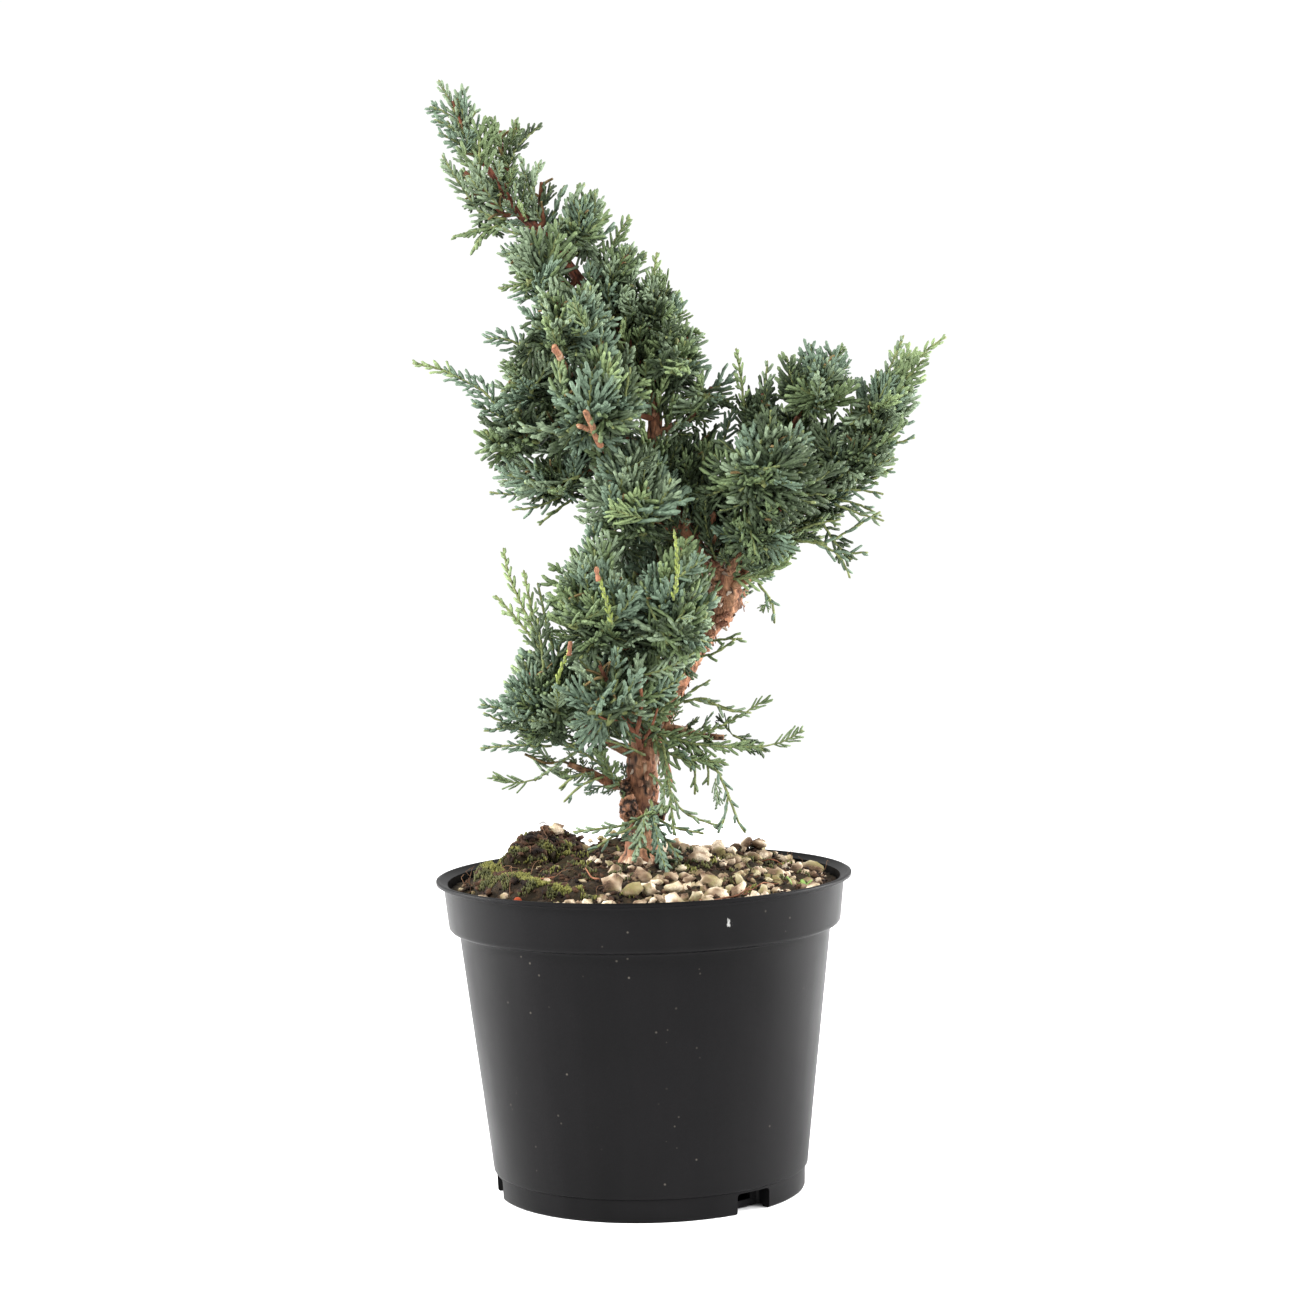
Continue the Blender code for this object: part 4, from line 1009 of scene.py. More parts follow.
places = [Vector(bend[:3]) * MM for bend in TRUNK_BENDS]
trunk = Limb("trunk", places, [bend[3] * MM for bend in TRUNK_BENDS])
limbs = {"trunk": trunk}
for name, (height, root, tip, bends) in BOUGHS.items():
    start = trunk.at_height(height * MM)[0]
    points = [start] + [Vector(bend) * MM for bend in bends]
    last = len(points) - 1
    limbs[name] = Limb(name, points, [(root + (tip - root) * i / last) * MM for i in range(last + 1)])
print("trunk:", round(trunk.marks[-1] / MM), "mm along its bends;", len(BOUGHS), "boughs")

# %% [markdown]
# ## Bark
# Juniper bark is red-brown and peels in long thin strips that run with the limb. So the relief is
# worked out in the limb's own directions, along it and round it: noise that is stretched along
# the limb gives strips, its sharp valleys give cracks, and slow noise swells the limb unevenly.
# At the knuckle, where branches were cut away, the swelling is much stronger. The height of the
# relief is kept as an attribute, so that the material can paint shade into the cracks.

# %% Carving the bark
KNUCKLE = Vector((40.0, 3.0, 270.0)) * MM
KNUCKLE_REACH = 15 * MM
FLARE = 12


def gnarled(place):
    """1 in the middle of the knuckle, and 0 well away from it."""
    return math.exp(-(((place - KNUCKLE).length / KNUCKLE_REACH) ** 2))


def turning_frames(points):
    """A heading and a side for each point, turned as little as possible on the way."""
    headings = [(b - a).normalized() for a, b in zip(points, points[1:])]
    headings.append(headings[-1])
    side = headings[0].orthogonal().normalized()
    sides = [side]
    for first, second in zip(headings, headings[1:]):
        side = (first.rotation_difference(second) @ side).normalized()
        sides.append(side)
    return headings, sides


def barked(limb, sides_step, ring_step):
    """A limb's skin with its bark carved in."""
    points, radii = limb.evenly(ring_step)
    headings, sides = turning_frames(points)
    shape = curve_mesh(limb.name, [(points, radii)], sides_step)
    middles = np.array(points)
    relief = shape.verts.layers.float.new("relief")
    for vertex in shape.verts:
        index = int(np.argmin(((middles - np.array(vertex.co)) ** 2).sum(1)))
        out = vertex.co - points[index]
        out -= headings[index] * out.dot(headings[index])
        if out.length < 1e-7:
            continue
        reach = out.length
        out.normalize()
        angle = math.atan2(out.dot(headings[index].cross(sides[index])), out.dot(sides[index]))
        along = index * ring_step / MM
        thick = radii[index] / MM
        ring = Vector((math.cos(angle), math.sin(angle), 0.0))
        around = ring * (0.42 * thick + 0.5)
        strips = noise.noise(around + Vector((0, 0, along * 0.1)))
        cracks = abs(noise.noise(around * 1.7 + Vector((3, 1, along * 0.13))))
        flakes = noise.noise(around * 3.0 + Vector((7, 2, along * 0.45)))
        swell = noise.noise(ring * 0.9 + Vector((0, 5, along * 0.07)))
        gnarl = gnarled(vertex.co)
        knots = rough(vertex.co / MM, (0.24, 1.0), (0.6, 0.6))
        height = 0.55 * strips + 0.5 * min(cracks * 4, 1) + 0.22 * flakes
        vertex[relief] = min(max(0.35 + height * 0.6, 0.0), 1.0)
        push = thick * (0.16 * (height - 0.35) + 0.1 * swell) + gnarl * 2.6 * knots
        vertex.co += out * push * MM
        if limb is trunk and along < FLARE:
            flare = (1 - along / FLARE) ** 2 * (1.2 + 1.6 * math.sin(angle * 4 + 0.7) ** 2)
            vertex.co += out * flare * MM
    return mesh_from(limb.name, shape)


def bark():
    finish = Finish("juniper_bark", 0.85, 0.3)
    relief = finish.node("ShaderNodeAttribute", out="Fac", attribute_name="relief")
    height = finish.node("ShaderNodeSeparateXYZ", {0: finish.place}, out="Z")
    stretched = finish.stretched((1.0, 1.0, 0.22))
    strips = finish.noise(520.0, 4.0, 0.65, place=stretched)
    patches = finish.fade(finish.noise(75.0, 3.0), 0.4, 0.68)
    dead = finish.fade(finish.noise(160.0, 3.0, place=finish.stretched((1, 1, 0.4))), 0.6, 0.72)
    strips = finish.fade(strips, 0.3, 0.7)
    red = finish.blend(strips, (0.05, 0.02, 0.012), (0.36, 0.155, 0.08))
    tan = finish.blend(strips, (0.14, 0.066, 0.036), (0.54, 0.35, 0.2))
    colour = finish.blend(patches * 0.5, red, tan)
    colour = finish.blend(dead * 0.75, colour, (0.52, 0.43, 0.3))
    young = finish.blend(strips, (0.045, 0.013, 0.008), (0.21, 0.066, 0.036))
    colour = finish.blend(finish.fade(height, 0.37, 0.41), colour, young)
    # painted shade: the cracks, where the relief is low, are darkened almost to black
    colour = finish.blend(finish.fade(relief, 0.55, 0.28), colour, (0.014, 0.007, 0.004))
    return finish.set(colour, bump=strips + relief, depth=0.0007, strength=0.8)


bark_finish = bark()
for limb in limbs.values():
    sides_step, ring_step = (11, 0.8 * MM) if limb is trunk else (4, 0.9 * MM)
    skin = barked(limb, sides_step, ring_step)
    piece_from(limb.name + "_bark", skin, bark_finish, "bark", [limb.name])

# %% [markdown]
# Loose flakes make the bark believable from the side, where relief alone looks smooth. Each is a
# thin strip, curled at its ends, that clings to the limb along its middle. A grid bent over a
# cylinder and given thickness with `solidify` serves. Fresh flakes are red-brown, and the old
# ones round the knuckle have weathered to grey.

# %% Flakes of bark
def flake_stamp(seed):
    """A curled strip, a unit long, about half a unit wide."""
    rng = random.Random(seed)
    shape = bmesh.new()
    bmesh.ops.create_grid(shape, x_segments=2, y_segments=3, size=0.5)
    for vertex in shape.verts:
        x, y, _ = vertex.co
        taper = 1 - 0.5 * abs(y * 2) ** 2 + rng.uniform(-0.18, 0.18)
        curl = 0.5 * max(y, 0) ** 2 * 2.2 + 0.15 * max(-y, 0) - 0.35 * x * x
        vertex.co = (x * 0.5 * taper, curl, y * rng.uniform(0.85, 1.1))
    bmesh.ops.solidify(shape, geom=shape.faces[:], thickness=0.07)
    return Stamp(shape)


flakes = [flake_stamp(number) for number in range(8)]
red_finish = brown("red_flakes", (0.1, 0.042, 0.024), (0.34, 0.18, 0.11))
grey_finish = brown("grey_flakes", (0.22, 0.16, 0.12), (0.5, 0.42, 0.34))
red_flakes = Heap("bark_flakes_red", red_finish, "bark")
grey_flakes = Heap("bark_flakes_grey", grey_finish, "bark")


def stray(amount, rng):
    """A small random vector."""
    return Vector([rng.gauss(0, amount) for _ in range(3)])


def cling(limb, share, angle, heap, size, lift):
    """One flake on a limb's skin."""
    place, heading, radius = limb.at_share(share)
    side = heading.orthogonal().normalized()
    out = Matrix.Rotation(angle, 3, heading) @ side
    skin = place + out * (radius * 1.02 + (0.6 + 1.2 * gnarled(place)) * lift * MM)
    along = (heading + stray(0.25 + 0.5 * gnarled(place), rng)).normalized()
    if rng.random() < 0.5:
        along = -along
    across = out.cross(along)
    heap.lay(rng.choice(flakes), skin, along, across, size * MM)


def strew(count, shares, heap, sizes, lifts):
    """Flakes along a stretch of the trunk."""
    for _ in range(count):
        share, angle = rng.uniform(*shares), rng.uniform(0, math.tau)
        cling(trunk, share, angle, heap, rng.uniform(*sizes), rng.uniform(*lifts))


KNUCKLE_SHARE = 0.37
rng = random.Random(SEED + 1)
strew(230, (0.03, 0.48), red_flakes, (2.5, 5.5), (0.2, 0.9))
for _ in range(110):
    share = rng.gauss(KNUCKLE_SHARE, 0.035)
    heap = grey_flakes if rng.random() < 0.45 else red_flakes
    cling(trunk, share, rng.uniform(0, math.tau), heap, rng.uniform(2.5, 5.0), rng.uniform(0.6, 1.6))
strew(40, (0.03, 0.5), grey_flakes, (2, 4), (0.2, 0.9))
strew(70, (0.5, 0.8), red_flakes, (1.5, 3.5), (0.1, 0.5))
for name in BOUGHS:
    for _ in range(9):
        share, size = rng.uniform(0.15, 0.8), rng.uniform(1.5, 3.2)
        cling(limbs[name], share, rng.uniform(0, math.tau), red_flakes, size, rng.uniform(0.1, 0.4))
red_flakes.make(smooth=False)
grey_flakes.make(smooth=False)

# %% [markdown]
# The trainer sawed and snipped branches off. Small stubs with pale ends stand in the crown. A stub
# is a short tube with its own ragged skin, and its cut end is a disc of bare wood.

# %% Knob and stubs
STUBS = (  # foot, tip, radius
    ((-27, -33, 372), (-33.4, -46.5, 384.5), 1.15),
    ((-14.5, -36, 341), (-20.4, -47.5, 356), 1.05),
    ((-17, -38, 347), (-24, -46, 350), 0.7),
    ((36, -4, 296), (34.5, -12, 310), 1.3),
    ((20.5, -6, 300), (24, -12.5, 306), 1.2),
    ((44, -4, 276), (51, -10, 279), 1.5),
    ((-16.8, -51, 282), (-17.4, -51.4, 287.5), 0.7),
    ((-30.5, -44, 249), (-29.8, -44.2, 254.5), 0.7),
)
bare_wood = brown("bare_wood", (0.16, 0.07, 0.035), (0.38, 0.21, 0.12))
stub_runs = []
shape = bmesh.new()
for foot, tip, radius in STUBS:
    foot, tip = Vector(foot) * MM, Vector(tip) * MM
    heading = (tip - foot).normalized()
    length = (tip - foot).length
    run = [foot + heading * length * share for share in (0, 0.25, 0.5, 0.75, 0.9, 1.0)]
    stub_runs.append((run, [radius * MM * width for width in (1.3, 1.1, 1.0, 1.06, 1.04, 0.9)]))
    turn = heading.to_track_quat("Z", "Y").to_matrix().to_4x4()
    bmesh.ops.create_cone(
        shape, cap_ends=True, segments=14, radius1=radius * 0.85 * MM, radius2=radius * 0.72 * MM,
        depth=0.5 * MM, matrix=Matrix.Translation(tip + heading * 0.2 * MM) @ turn,
    )
piece_from("cut_ends", shape, bare_wood, "bark", smooth=False)
shape = curve_mesh("stubs", stub_runs, 4)
for vertex in shape.verts:
    vertex.co += vertex.normal * (0.7 * noise.noise(vertex.co / MM * 0.5) + 0.3) * MM
relief = shape.verts.layers.float.new("relief")
for vertex in shape.verts:
    vertex[relief] = 0.6
piece_from("stubs", shape, bark_finish, "bark")

# %% [markdown]
# Low on the trunk the bark has grown over three larger cuts in ragged burls. Each is an
# icosphere that noise pulls into lumps. Their relief is set low, most of all in the hollows, so the
# bark's painted crack shade makes them dark.

# %% Burls
BURLS = (  # place, size, stretch
    ((-6, -6.5, 176), 4.6, 1.5), ((-7.5, -5, 185), 3, 1.2), ((8, -1.5, 173), 3, 1.3),
)
for number, (place, size, stretch) in enumerate(BURLS):
    shape = bmesh.new()
    bmesh.ops.create_icosphere(shape, subdivisions=5, radius=size * MM)
    bmesh.ops.scale(shape, vec=(0.9, 0.9, stretch), verts=shape.verts)
    bmesh.ops.translate(shape, vec=Vector(place) * MM, verts=shape.verts)
    relief = shape.verts.layers.float.new("relief")
    for vertex in shape.verts:
        pull = rough(vertex.co / MM, (0.3, 1.0), (0.8, 0.6), (1.9, 0.3))
        vertex.co += vertex.normal * pull * 1.5 * MM
        # painted shade: low relief, most of all in the hollows, gets the bark's dark crack colour
        vertex[relief] = min(max(0.32 + 0.45 * pull, 0.0), 1.0)
    piece_from(f"burl_{number + 1}", shape, bark_finish, "bark")

# %% [markdown]
# ## The masses
# The foliage hangs together in masses, one for each place where the plant branches. Every mass
# fills a rounded space round its heart. A stem runs from its limb to the heart and on, and twigs
# leave the stem for places on the outside, spaced by the golden angle so that no side is bare.

# %% Masses
MASSES = {  # limb, place on it, heart, reach (along, across, deep) in millimetres, lean
    "leader_tip": ("trunk", TIP, (-73, -4, 486), (21, 8, 9), -22),
    "leader_right": ("trunk", 458, (-56, 1, 475), (20, 9, 11), 20),
    "leader_left": ("trunk", 449, (-65, -7, 457), (22, 14, 15), -20),
    "leader_mid": ("trunk", 439, (-39, 2, 451), (18, 11, 11), 5),
    "crest_right_high": ("trunk", 426, (-22, 1, 440), (21, 15, 16), 10),
    "crest_right_low": ("trunk", 405, (-5, 0, 417), (21, 13, 18), 12),
    "crest_left": ("trunk", 417, (-41, -8, 424), (24, 16, 17), -12),
    "crown_right_high": ("trunk", 385, (11, 3, 401), (20, 13, 21), 0),
    "crown_right": ("trunk", 368, (21, 0, 381), (18, 13, 24), 15),
    "crown_right_low": ("crown_right_bough", TIP, (32, -2, 360), (17, 11, 18), 75),
    "crown_front_high": ("trunk", 380, (-26, -23, 397), (20, 23, 20), 0),
    "crown_front": ("trunk", 352, (-17, -30, 362), (27, 24, 20), 0),
    "crown_left_high": ("trunk", 370, (-44, -8, 373), (16, 16, 20), -16),
    "crown_left": ("trunk", 340, (-50, -6, 350), (16, 20, 22), -30),
    "crown_left_low": ("crown_left_bough", TIP, (-37, -6, 327), (27, 14, 20), -80),
    "column_front": ("trunk", 306, (-1, -22, 318), (28, 20, 18), 0),
    "column_right": ("column_bough", TIP, (27, 6, 327), (26, 16, 17), 8),
    "mid_front_left": ("mid_front_bough", TIP, (-17, -27, 271), (31, 24, 22), -10),
    "mid_front_right": ("trunk", 236, (15, -27, 268), (29, 21, 22), 10),
    "lower_left": ("lower_left_bough", TIP, (-42, -18, 230), (23, 21, 22), 0),
    "lower_front": ("trunk", 211, (-13, -32, 234), (25, 24, 22), 0),
    "low_left": ("low_left_bough", TIP, (-43, -11, 198), (22, 12, 14), -80),
    "low_right": ("low_right_bough", TIP, (45, -6, 210), (24, 14, 10), 85),
    "hanging_right": ("low_right_bough", 0.75, (40, -14, 180), (19, 10, 9), 155),
    "hanging_front": ("hanging_bough", TIP, (14, -20, 174), (14, 12, 9), 180),
    "base_shoot": ("trunk", 166, (1, -22, 160), (20, 9, 12), 90),
    "right_front": ("right_front_bough", TIP, (61, -26, 329), (29, 23, 21), 80),
    "right_top": ("right_top_bough", TIP, (85, 3, 367), (20, 17, 22), 10),
    "right_top_left": ("right_top_bough", 0.8, (59, 2, 355), (14, 12, 16), -4),
    "right_tip": ("right_tip_bough", TIP, (113, 4, 355), (29, 14, 21), 38),
    "right_tip_low": ("right_tip_bough", 0.85, (102, -5, 333), (22, 15, 17), 60),
    "right_droop": ("right_low_bough", TIP, (93, -8, 301), (23, 12, 12), 120),
    "right_low": ("right_low_bough", 0.72, (57, -23, 302), (18, 17, 15), 50),
    "knuckle_sprig": ("trunk", 262, (57, -9, 268), (13, 7, 8), 95),
    "crown_back_high": ("trunk", 378, (-12, 25, 388), (22, 23, 20), 0),
    "crown_back": ("trunk", 333, (-25, 27, 350), (24, 28, 22), 0),
    "mid_back": ("trunk", 262, (6, 28, 276), (30, 28, 22), 0),
    "lower_back": ("trunk", 211, (-16, 24, 225), (22, 28, 20), 0),
    "right_back": ("right_back_bough", TIP, (74, 34, 336), (26, 27, 20), 0),
}
OPEN = (  # loose masses that long shoots make up
    "low_left", "low_right", "hanging_right", "hanging_front", "base_shoot", "right_droop",
    "knuckle_sprig",
)
print("masses:", len(MASSES), "open:", len(OPEN))

# %% [markdown]
# A mass's space is an ellipsoid that leans. Its surface tells how many twigs and fronds it needs,
# and a spiral by the golden angle spreads them over it.

# %% The space of a mass
GOLDEN_ANGLE = math.radians(137.508)
STEM_RADIUS = (1.5, 0.9)
STEM_SET_OUT = 0.3
STEM_RISE = 0.35
STEM_BEYOND = 0.55
TWIG_SWEEP = 0.4


class Mass:
    """The rounded space that one mass keeps to, and the stem that carries it."""

    def __init__(self, name):
        carrier, place, heart, reach, lean = MASSES[name]
        self.name = name
        self.open = name in OPEN
        self.heart = Vector(heart) * MM
        self.turn = Matrix.Rotation(math.radians(lean), 3, "Y")
        along, across, deep = (size * MM for size in reach)
        self.reach = Vector((across, deep, along))
        self.stem = self.grow_stem(limbs[carrier], place)
        self.twigs = []

    def scaled(self, out):
        return Vector([out[i] * self.reach[i] for i in range(3)])

    def area(self):
        """The surface of the space in square millimetres, by the usual rule for an ellipsoid."""
        a, b, c = (size / MM for size in self.reach)
        power = 1.6
        mean = ((a * b) ** power + (a * c) ** power + (b * c) ** power) / 3
        return 4 * math.pi * mean ** (1 / power)

    def on_shell(self, number, count, share, rng):
        """A place at a share of the reach, in a golden-angle spiral that is even on all sides."""
        height = 1 - 2 * (number + 0.5) / count
        ring = math.sqrt(1 - height * height)
        angle = number * GOLDEN_ANGLE + rng.uniform(-0.35, 0.35)
        out = Vector((ring * math.cos(angle), ring * math.sin(angle), height)) * share
        return self.heart + self.turn @ self.scaled(out)

    def on_skin(self, number, count, rng):
        """The place where the spiral's ray leaves the foliage, or nothing if others cover it."""
        edge = self.on_shell(number, count, 1.0, rng)
        for step in range(16):
            place = self.heart.lerp(edge, 0.7 + 0.05 * step)
            if outside(place) > 0.5 * noise.noise(place / MM * 0.075) - 0.27:
                return place
        return None

    def grow_stem(self, limb, place):
        if place == TIP:
            centre, heading, radius = limb.at_share(1.0)
            foot = centre - heading * 0.5 * MM
        else:
            reading = limb.at_height(place * MM) if limb is trunk else limb.at_share(place)
            centre, heading, radius = reading
            aim = self.heart - centre
            outward = (aim - heading * aim.dot(heading)).normalized()
            foot = centre + outward * radius * 0.6
            heading = outward
        span = self.heart - foot
        bend = foot + heading * span.length * STEM_SET_OUT
        beyond = (span.normalized() + Vector((0, 0, STEM_RISE))).normalized()
        local = self.turn.transposed() @ beyond
        far = 1 / Vector([local[i] / self.reach[i] for i in range(3)]).length
        end = self.heart + beyond * far * STEM_BEYOND
        thick = min(STEM_RADIUS[0] * (0.5 if self.open else 1.0) * MM, radius * 0.85)
        thin = min(STEM_RADIUS[1] * MM, thick)
        radii = [thick + (thin - thick) * index / 3 for index in range(4)]
        return Limb(self.name, [foot, bend, self.heart, end], radii, 6)

    def fork_for(self, target):
        """Where a twig leaves the stem: far enough back that it sweeps forward."""
        points = self.stem.points
        index = min(range(len(points)), key=lambda number: (points[number] - target).length)
        distance = (points[index] - target).length
        back = 0.0
        while index > 2 and back < TWIG_SWEEP * distance:
            back += (points[index] - points[index - 1]).length
            index -= 1
        _, heading, _ = self.stem.between(min(index, len(points) - 2), 0.0)
        return points[index], heading


masses = {name: Mass(name) for name in MASSES}
print("stems:", [round(mass.stem.marks[-1] / MM) for mass in masses.values()], "mm long")

# %% [markdown]
# Neighbours melt together. Each place is measured in every mass, and a soft minimum of those
# measures gives one skin for the whole plant.

# %% The skin that all masses share
MELT = 2.6  # how sharply masses keep apart: at a low value they melt together
hearts = np.array([mass.heart for mass in masses.values()])
reaches = np.array([mass.reach for mass in masses.values()])
turns = np.array([mass.turn for mass in masses.values()])


def depths(place):
    """How far out a place lies in each mass: 0 at its heart, 1 on its outside."""
    local = np.einsum("mji,mj->mi", turns, np.array(place) - hearts) / reaches
    return np.linalg.norm(local, axis=1)


def outside(place):
    """Zero on the skin that all masses share. Where masses touch, they melt together."""
    return -math.log(np.exp(-MELT * (depths(place) - 1)).sum()) / MELT


def nearest_mass(place):
    return list(masses)[int(np.argmin(depths(place)))]


print("outside a heart:", round(outside(masses["crown_front"].heart), 2))

# %% [markdown]
# ## A frond of scale leaves
# This juniper's leaves are tiny scales that clasp the twig in pairs, so what the eye sees is a
# green cord about a millimetre thick with a beaded edge. Cords branch left and right from an
# axis, each one branches again, and the whole is a feathery frond.
#
# A cord starts as a triangle. `extrude_edge_only` carries the ring along, a little wider and
# narrower by turns and twisted by a sixth of a turn, so each step is one whorl of scales. The
# last ring is merged to a blunt tip.

# %% Cords
CORD_STEP = 2.6


def add_cord(shape, path, radius, tip_share=0.85):
    """A scaly cord along a path of points."""
    heading = (path[1] - path[0]).normalized()
    turn = heading.to_track_quat("Z", "Y")
    made = bmesh.ops.create_circle(
        shape, cap_ends=True, segments=3, radius=radius * 0.9,
        matrix=Matrix.Translation(path[0]) @ turn.to_matrix().to_4x4(),
    )
    ring = made["verts"]
    edges = list({edge for vertex in ring for edge in vertex.link_edges})
    centre, size = path[0], radius * 0.9
    last = len(path) - 1
    for index in range(1, last + 1):
        ahead = path[min(index + 1, last)] - path[index - 1]
        turned = heading.rotation_difference(ahead.normalized()).to_matrix()
        twist = Matrix.Rotation(math.pi / 3, 3, ahead.normalized())
        heading = ahead.normalized()
        share = index / last
        wanted = radius * (1.0 if index % 2 else 0.84) * (1 - (1 - tip_share) * share)
        grown = bmesh.ops.extrude_edge_only(shape, edges=edges)["geom"]
        ring = [part for part in grown if isinstance(part, bmesh.types.BMVert)]
        corners = set(ring)
        edges = [
            part for part in grown
            if isinstance(part, bmesh.types.BMEdge) and corners.issuperset(part.verts)
        ]
        for vertex in ring:
            vertex.co = path[index] + twist @ turned @ (vertex.co - centre) * (wanted / size)
        centre, size = path[index], wanted
    grown = bmesh.ops.extrude_edge_only(shape, edges=edges)["geom"]
    ring = [part for part in grown if isinstance(part, bmesh.types.BMVert)]
    for vertex in ring:
        vertex.co = centre + (vertex.co - centre) * 0.62 + heading * radius * 0.55
    bmesh.ops.pointmerge(shape, verts=ring, merge_co=centre + heading * radius * 0.8)


print("a cord has a ring each", CORD_STEP, "mm")

# %% [markdown]
# A frond sets its cords left and right of its axis. Their size, lean and tilt vary, because even
# spacing would look like a comb. Seventeen fronds are modelled, and every other is a copy.

# %% Fronds
def bowed(start, first, second, length, steps):
    """A path that sets out one way and ends another."""
    path = [start]
    for step in range(steps):
        share = (step + 0.5) / steps
        path.append(path[-1] + first.lerp(second, share).normalized() * (length / steps))
    return path


def along_path(path, share):
    spot = share * (len(path) - 1)
    index = min(int(spot), len(path) - 2)
    return path[index].lerp(path[index + 1], spot - index), (path[index + 1] - path[index]).normalized()


def add_frond(
    axis, cords, path, across, rng,
    gap=2.0, longest=10.5, spread=40.0, radius=1.0, bare=0.08, full=True,
):
    """Cords left and right of a path, longest a third of the way up; sizes in millimetres."""
    length = sum((b - a).length for a, b in zip(path, path[1:])) / MM
    add_cord(axis, path, radius * 0.85 * MM)
    count = max(3, int(length * (1 - bare) / gap))
    for number in range(count):
        share = bare + (0.97 - bare) * (number + rng.uniform(0.25, 0.75)) / count
        centre, heading = along_path(path, share)
        side = (across - heading * across.dot(heading)).normalized() * (1 if number % 2 else -1)
        normal = heading.cross(side)
        size = longest * max(0.3, 1 - ((share - 0.3) / 0.85) ** 2) * rng.uniform(0.6, 1.15)
        lean = math.radians(spread * (1.12 - 0.42 * share) + rng.uniform(-13, 13))
        tilt = rng.uniform(-0.7, 0.7)
        out = (heading * math.cos(lean) + (side + normal * tilt) * math.sin(lean)).normalized()
        end = (out + heading * rng.uniform(0.3, 0.9) + normal * rng.uniform(-0.35, 0.35)).normalized()
        steps = max(2, round(size / CORD_STEP))
        cord = bowed(centre, out, end, size * MM, steps)
        add_cord(cords, cord, radius * rng.uniform(0.9, 1.05) * MM)
        for branch in range(rng.choice((0, 0, 1, 1, 2)) if full and size > 4.5 else 0):
            spot, way = along_path(cord, rng.uniform(0.2, 0.4) + 0.26 * branch)
            wing = way.cross(normal).normalized() * (1 if branch else -1) * math.copysign(1, tilt)
            off = (way * 0.9 + wing * 0.62 + normal * rng.uniform(-0.4, 0.4)).normalized()
            bit = size * rng.uniform(0.3, 0.5)
            twig = bowed(spot, off, (off + way * 0.4).normalized(), bit * MM, 2)
            add_cord(cords, twig, radius * 0.9 * MM)


class Frond:
    """A frond modelled once, with its axis and its cords kept apart."""

    def __init__(self, seed, length, **shape_of):
        rng = random.Random(seed)
        axis, cords = bmesh.new(), bmesh.new()
        lean = Vector((rng.uniform(-0.12, 0.12), 0, 1)).normalized()
        steps = max(4, round(length / CORD_STEP))
        path = bowed(Vector(), lean, Vector((-lean.x, 0, lean.z)), length * MM, steps)
        add_frond(axis, cords, path, Vector((1, 0, 0)), rng, **shape_of)
        self.length = length * MM
        self.axis, self.cords = Stamp(axis), Stamp(cords)


full = {"longest": 15.0, "gap": 2.2, "radius": 1.12}
slim = {"longest": 10.5, "gap": 2.4, "radius": 1.1}
plain = {"longest": 12.0, "gap": 2.6, "radius": 1.35, "full": False}
full_fronds = [Frond(number, rng.uniform(23, 28), **full) for number in range(9)]
slim_fronds = [Frond(20 + number, rng.uniform(20, 24), **slim) for number in range(5)]
plain_fronds = [Frond(40 + number, 22.0, **plain) for number in range(3)]
for kind, made in (("full", full_fronds), ("slim", slim_fronds), ("plain", plain_fronds)):
    print(kind, "fronds:", [len(frond.axis.faces) + len(frond.cords.faces) for frond in made])

# %% [markdown]
# ## Greens
# From a step away the plant is grey-green, but it holds seven greens: a waxy blue, a grey sage, a
# plain green, a deep green that paints the shade inside the masses, the yellower green of fresh tips,
# the olive of the axes that the cords grow from, and the brightest for three young wands. Each frond
# is dealt one of the first five by where it grows, and its axis goes with the axes. A fine mottle
# keeps each green alive.

# %% Leaf finishes
def darker(colour, share):
    return tuple(value * share for value in colour)


def leaf_green(name, colour, light):
    finish = Finish(name, 0.66, 0.3)
    mottle = finish.fade(finish.noise(260.0, 3.0), 0.3, 0.7)
    scales = finish.cells(900.0)
    shade = finish.blend(mottle, darker(colour, 0.75), light)
    shade = finish.blend(finish.fade(scales, 0.45, 0.8) * 0.4, shade, darker(colour, 0.45))
    return finish.set(shade, bump=scales, depth=0.0004, strength=0.6)


GREENS = {
    "blue": ((0.082, 0.128, 0.083), (0.13, 0.188, 0.126)),
    "sage": ((0.127, 0.174, 0.102), (0.192, 0.254, 0.155)),
    "green": ((0.08, 0.12, 0.05), (0.132, 0.183, 0.077)),
    # painted shade: the deep green stands for the shade inside and under the masses, and is also dealt
    # at random as a dark tone
    "deep": ((0.026, 0.043, 0.018), (0.056, 0.082, 0.036)),
    "fresh": ((0.145, 0.205, 0.084), (0.215, 0.285, 0.125)),
    "axis": ((0.1, 0.122, 0.038), (0.17, 0.2, 0.07)),
    "bright": ((0.14, 0.185, 0.034), (0.23, 0.28, 0.06)),
}
heaps = {
    name: Heap(f"fronds_{name}", leaf_green(f"leaf_{name}", *shades), "foliage")
    for name, shades in GREENS.items()
}
print("greens:", ", ".join(GREENS))

# %% [markdown]
# Which greens a mass holds follows what the plant shows: the young growth in front and in the
# leader is pale, the right side is deep, and the low shoots are the bluest. Fronds that grow deep
# inside or on the underside of a mass get painted shade: they are mostly dealt the deep green.

# %% Dealing the greens
PALE = ("leader", "crest", "column_front", "mid_front", "crown_front_high", "crown_right")
BLUE = ("base", "hanging", "lower_front", "lower_left")
DARK = (
    "right_front", "right_low", "right_back", "right_top_left", "right_droop", "column_right",
    "low_right", "knuckle",
)


def palette(name):
    """How often each green is dealt in a mass."""
    if name.startswith(PALE):
        return {"blue": 21, "sage": 35, "green": 22, "fresh": 12, "deep": 10}
    if name.startswith(BLUE):
        return {"blue": 40, "sage": 30, "green": 14, "fresh": 4, "deep": 12}
    if name.startswith(DARK):
        return {"blue": 13, "sage": 3, "green": 19, "fresh": 1, "deep": 64}
    return {"blue": 32, "sage": 24, "green": 20, "fresh": 6, "deep": 18}


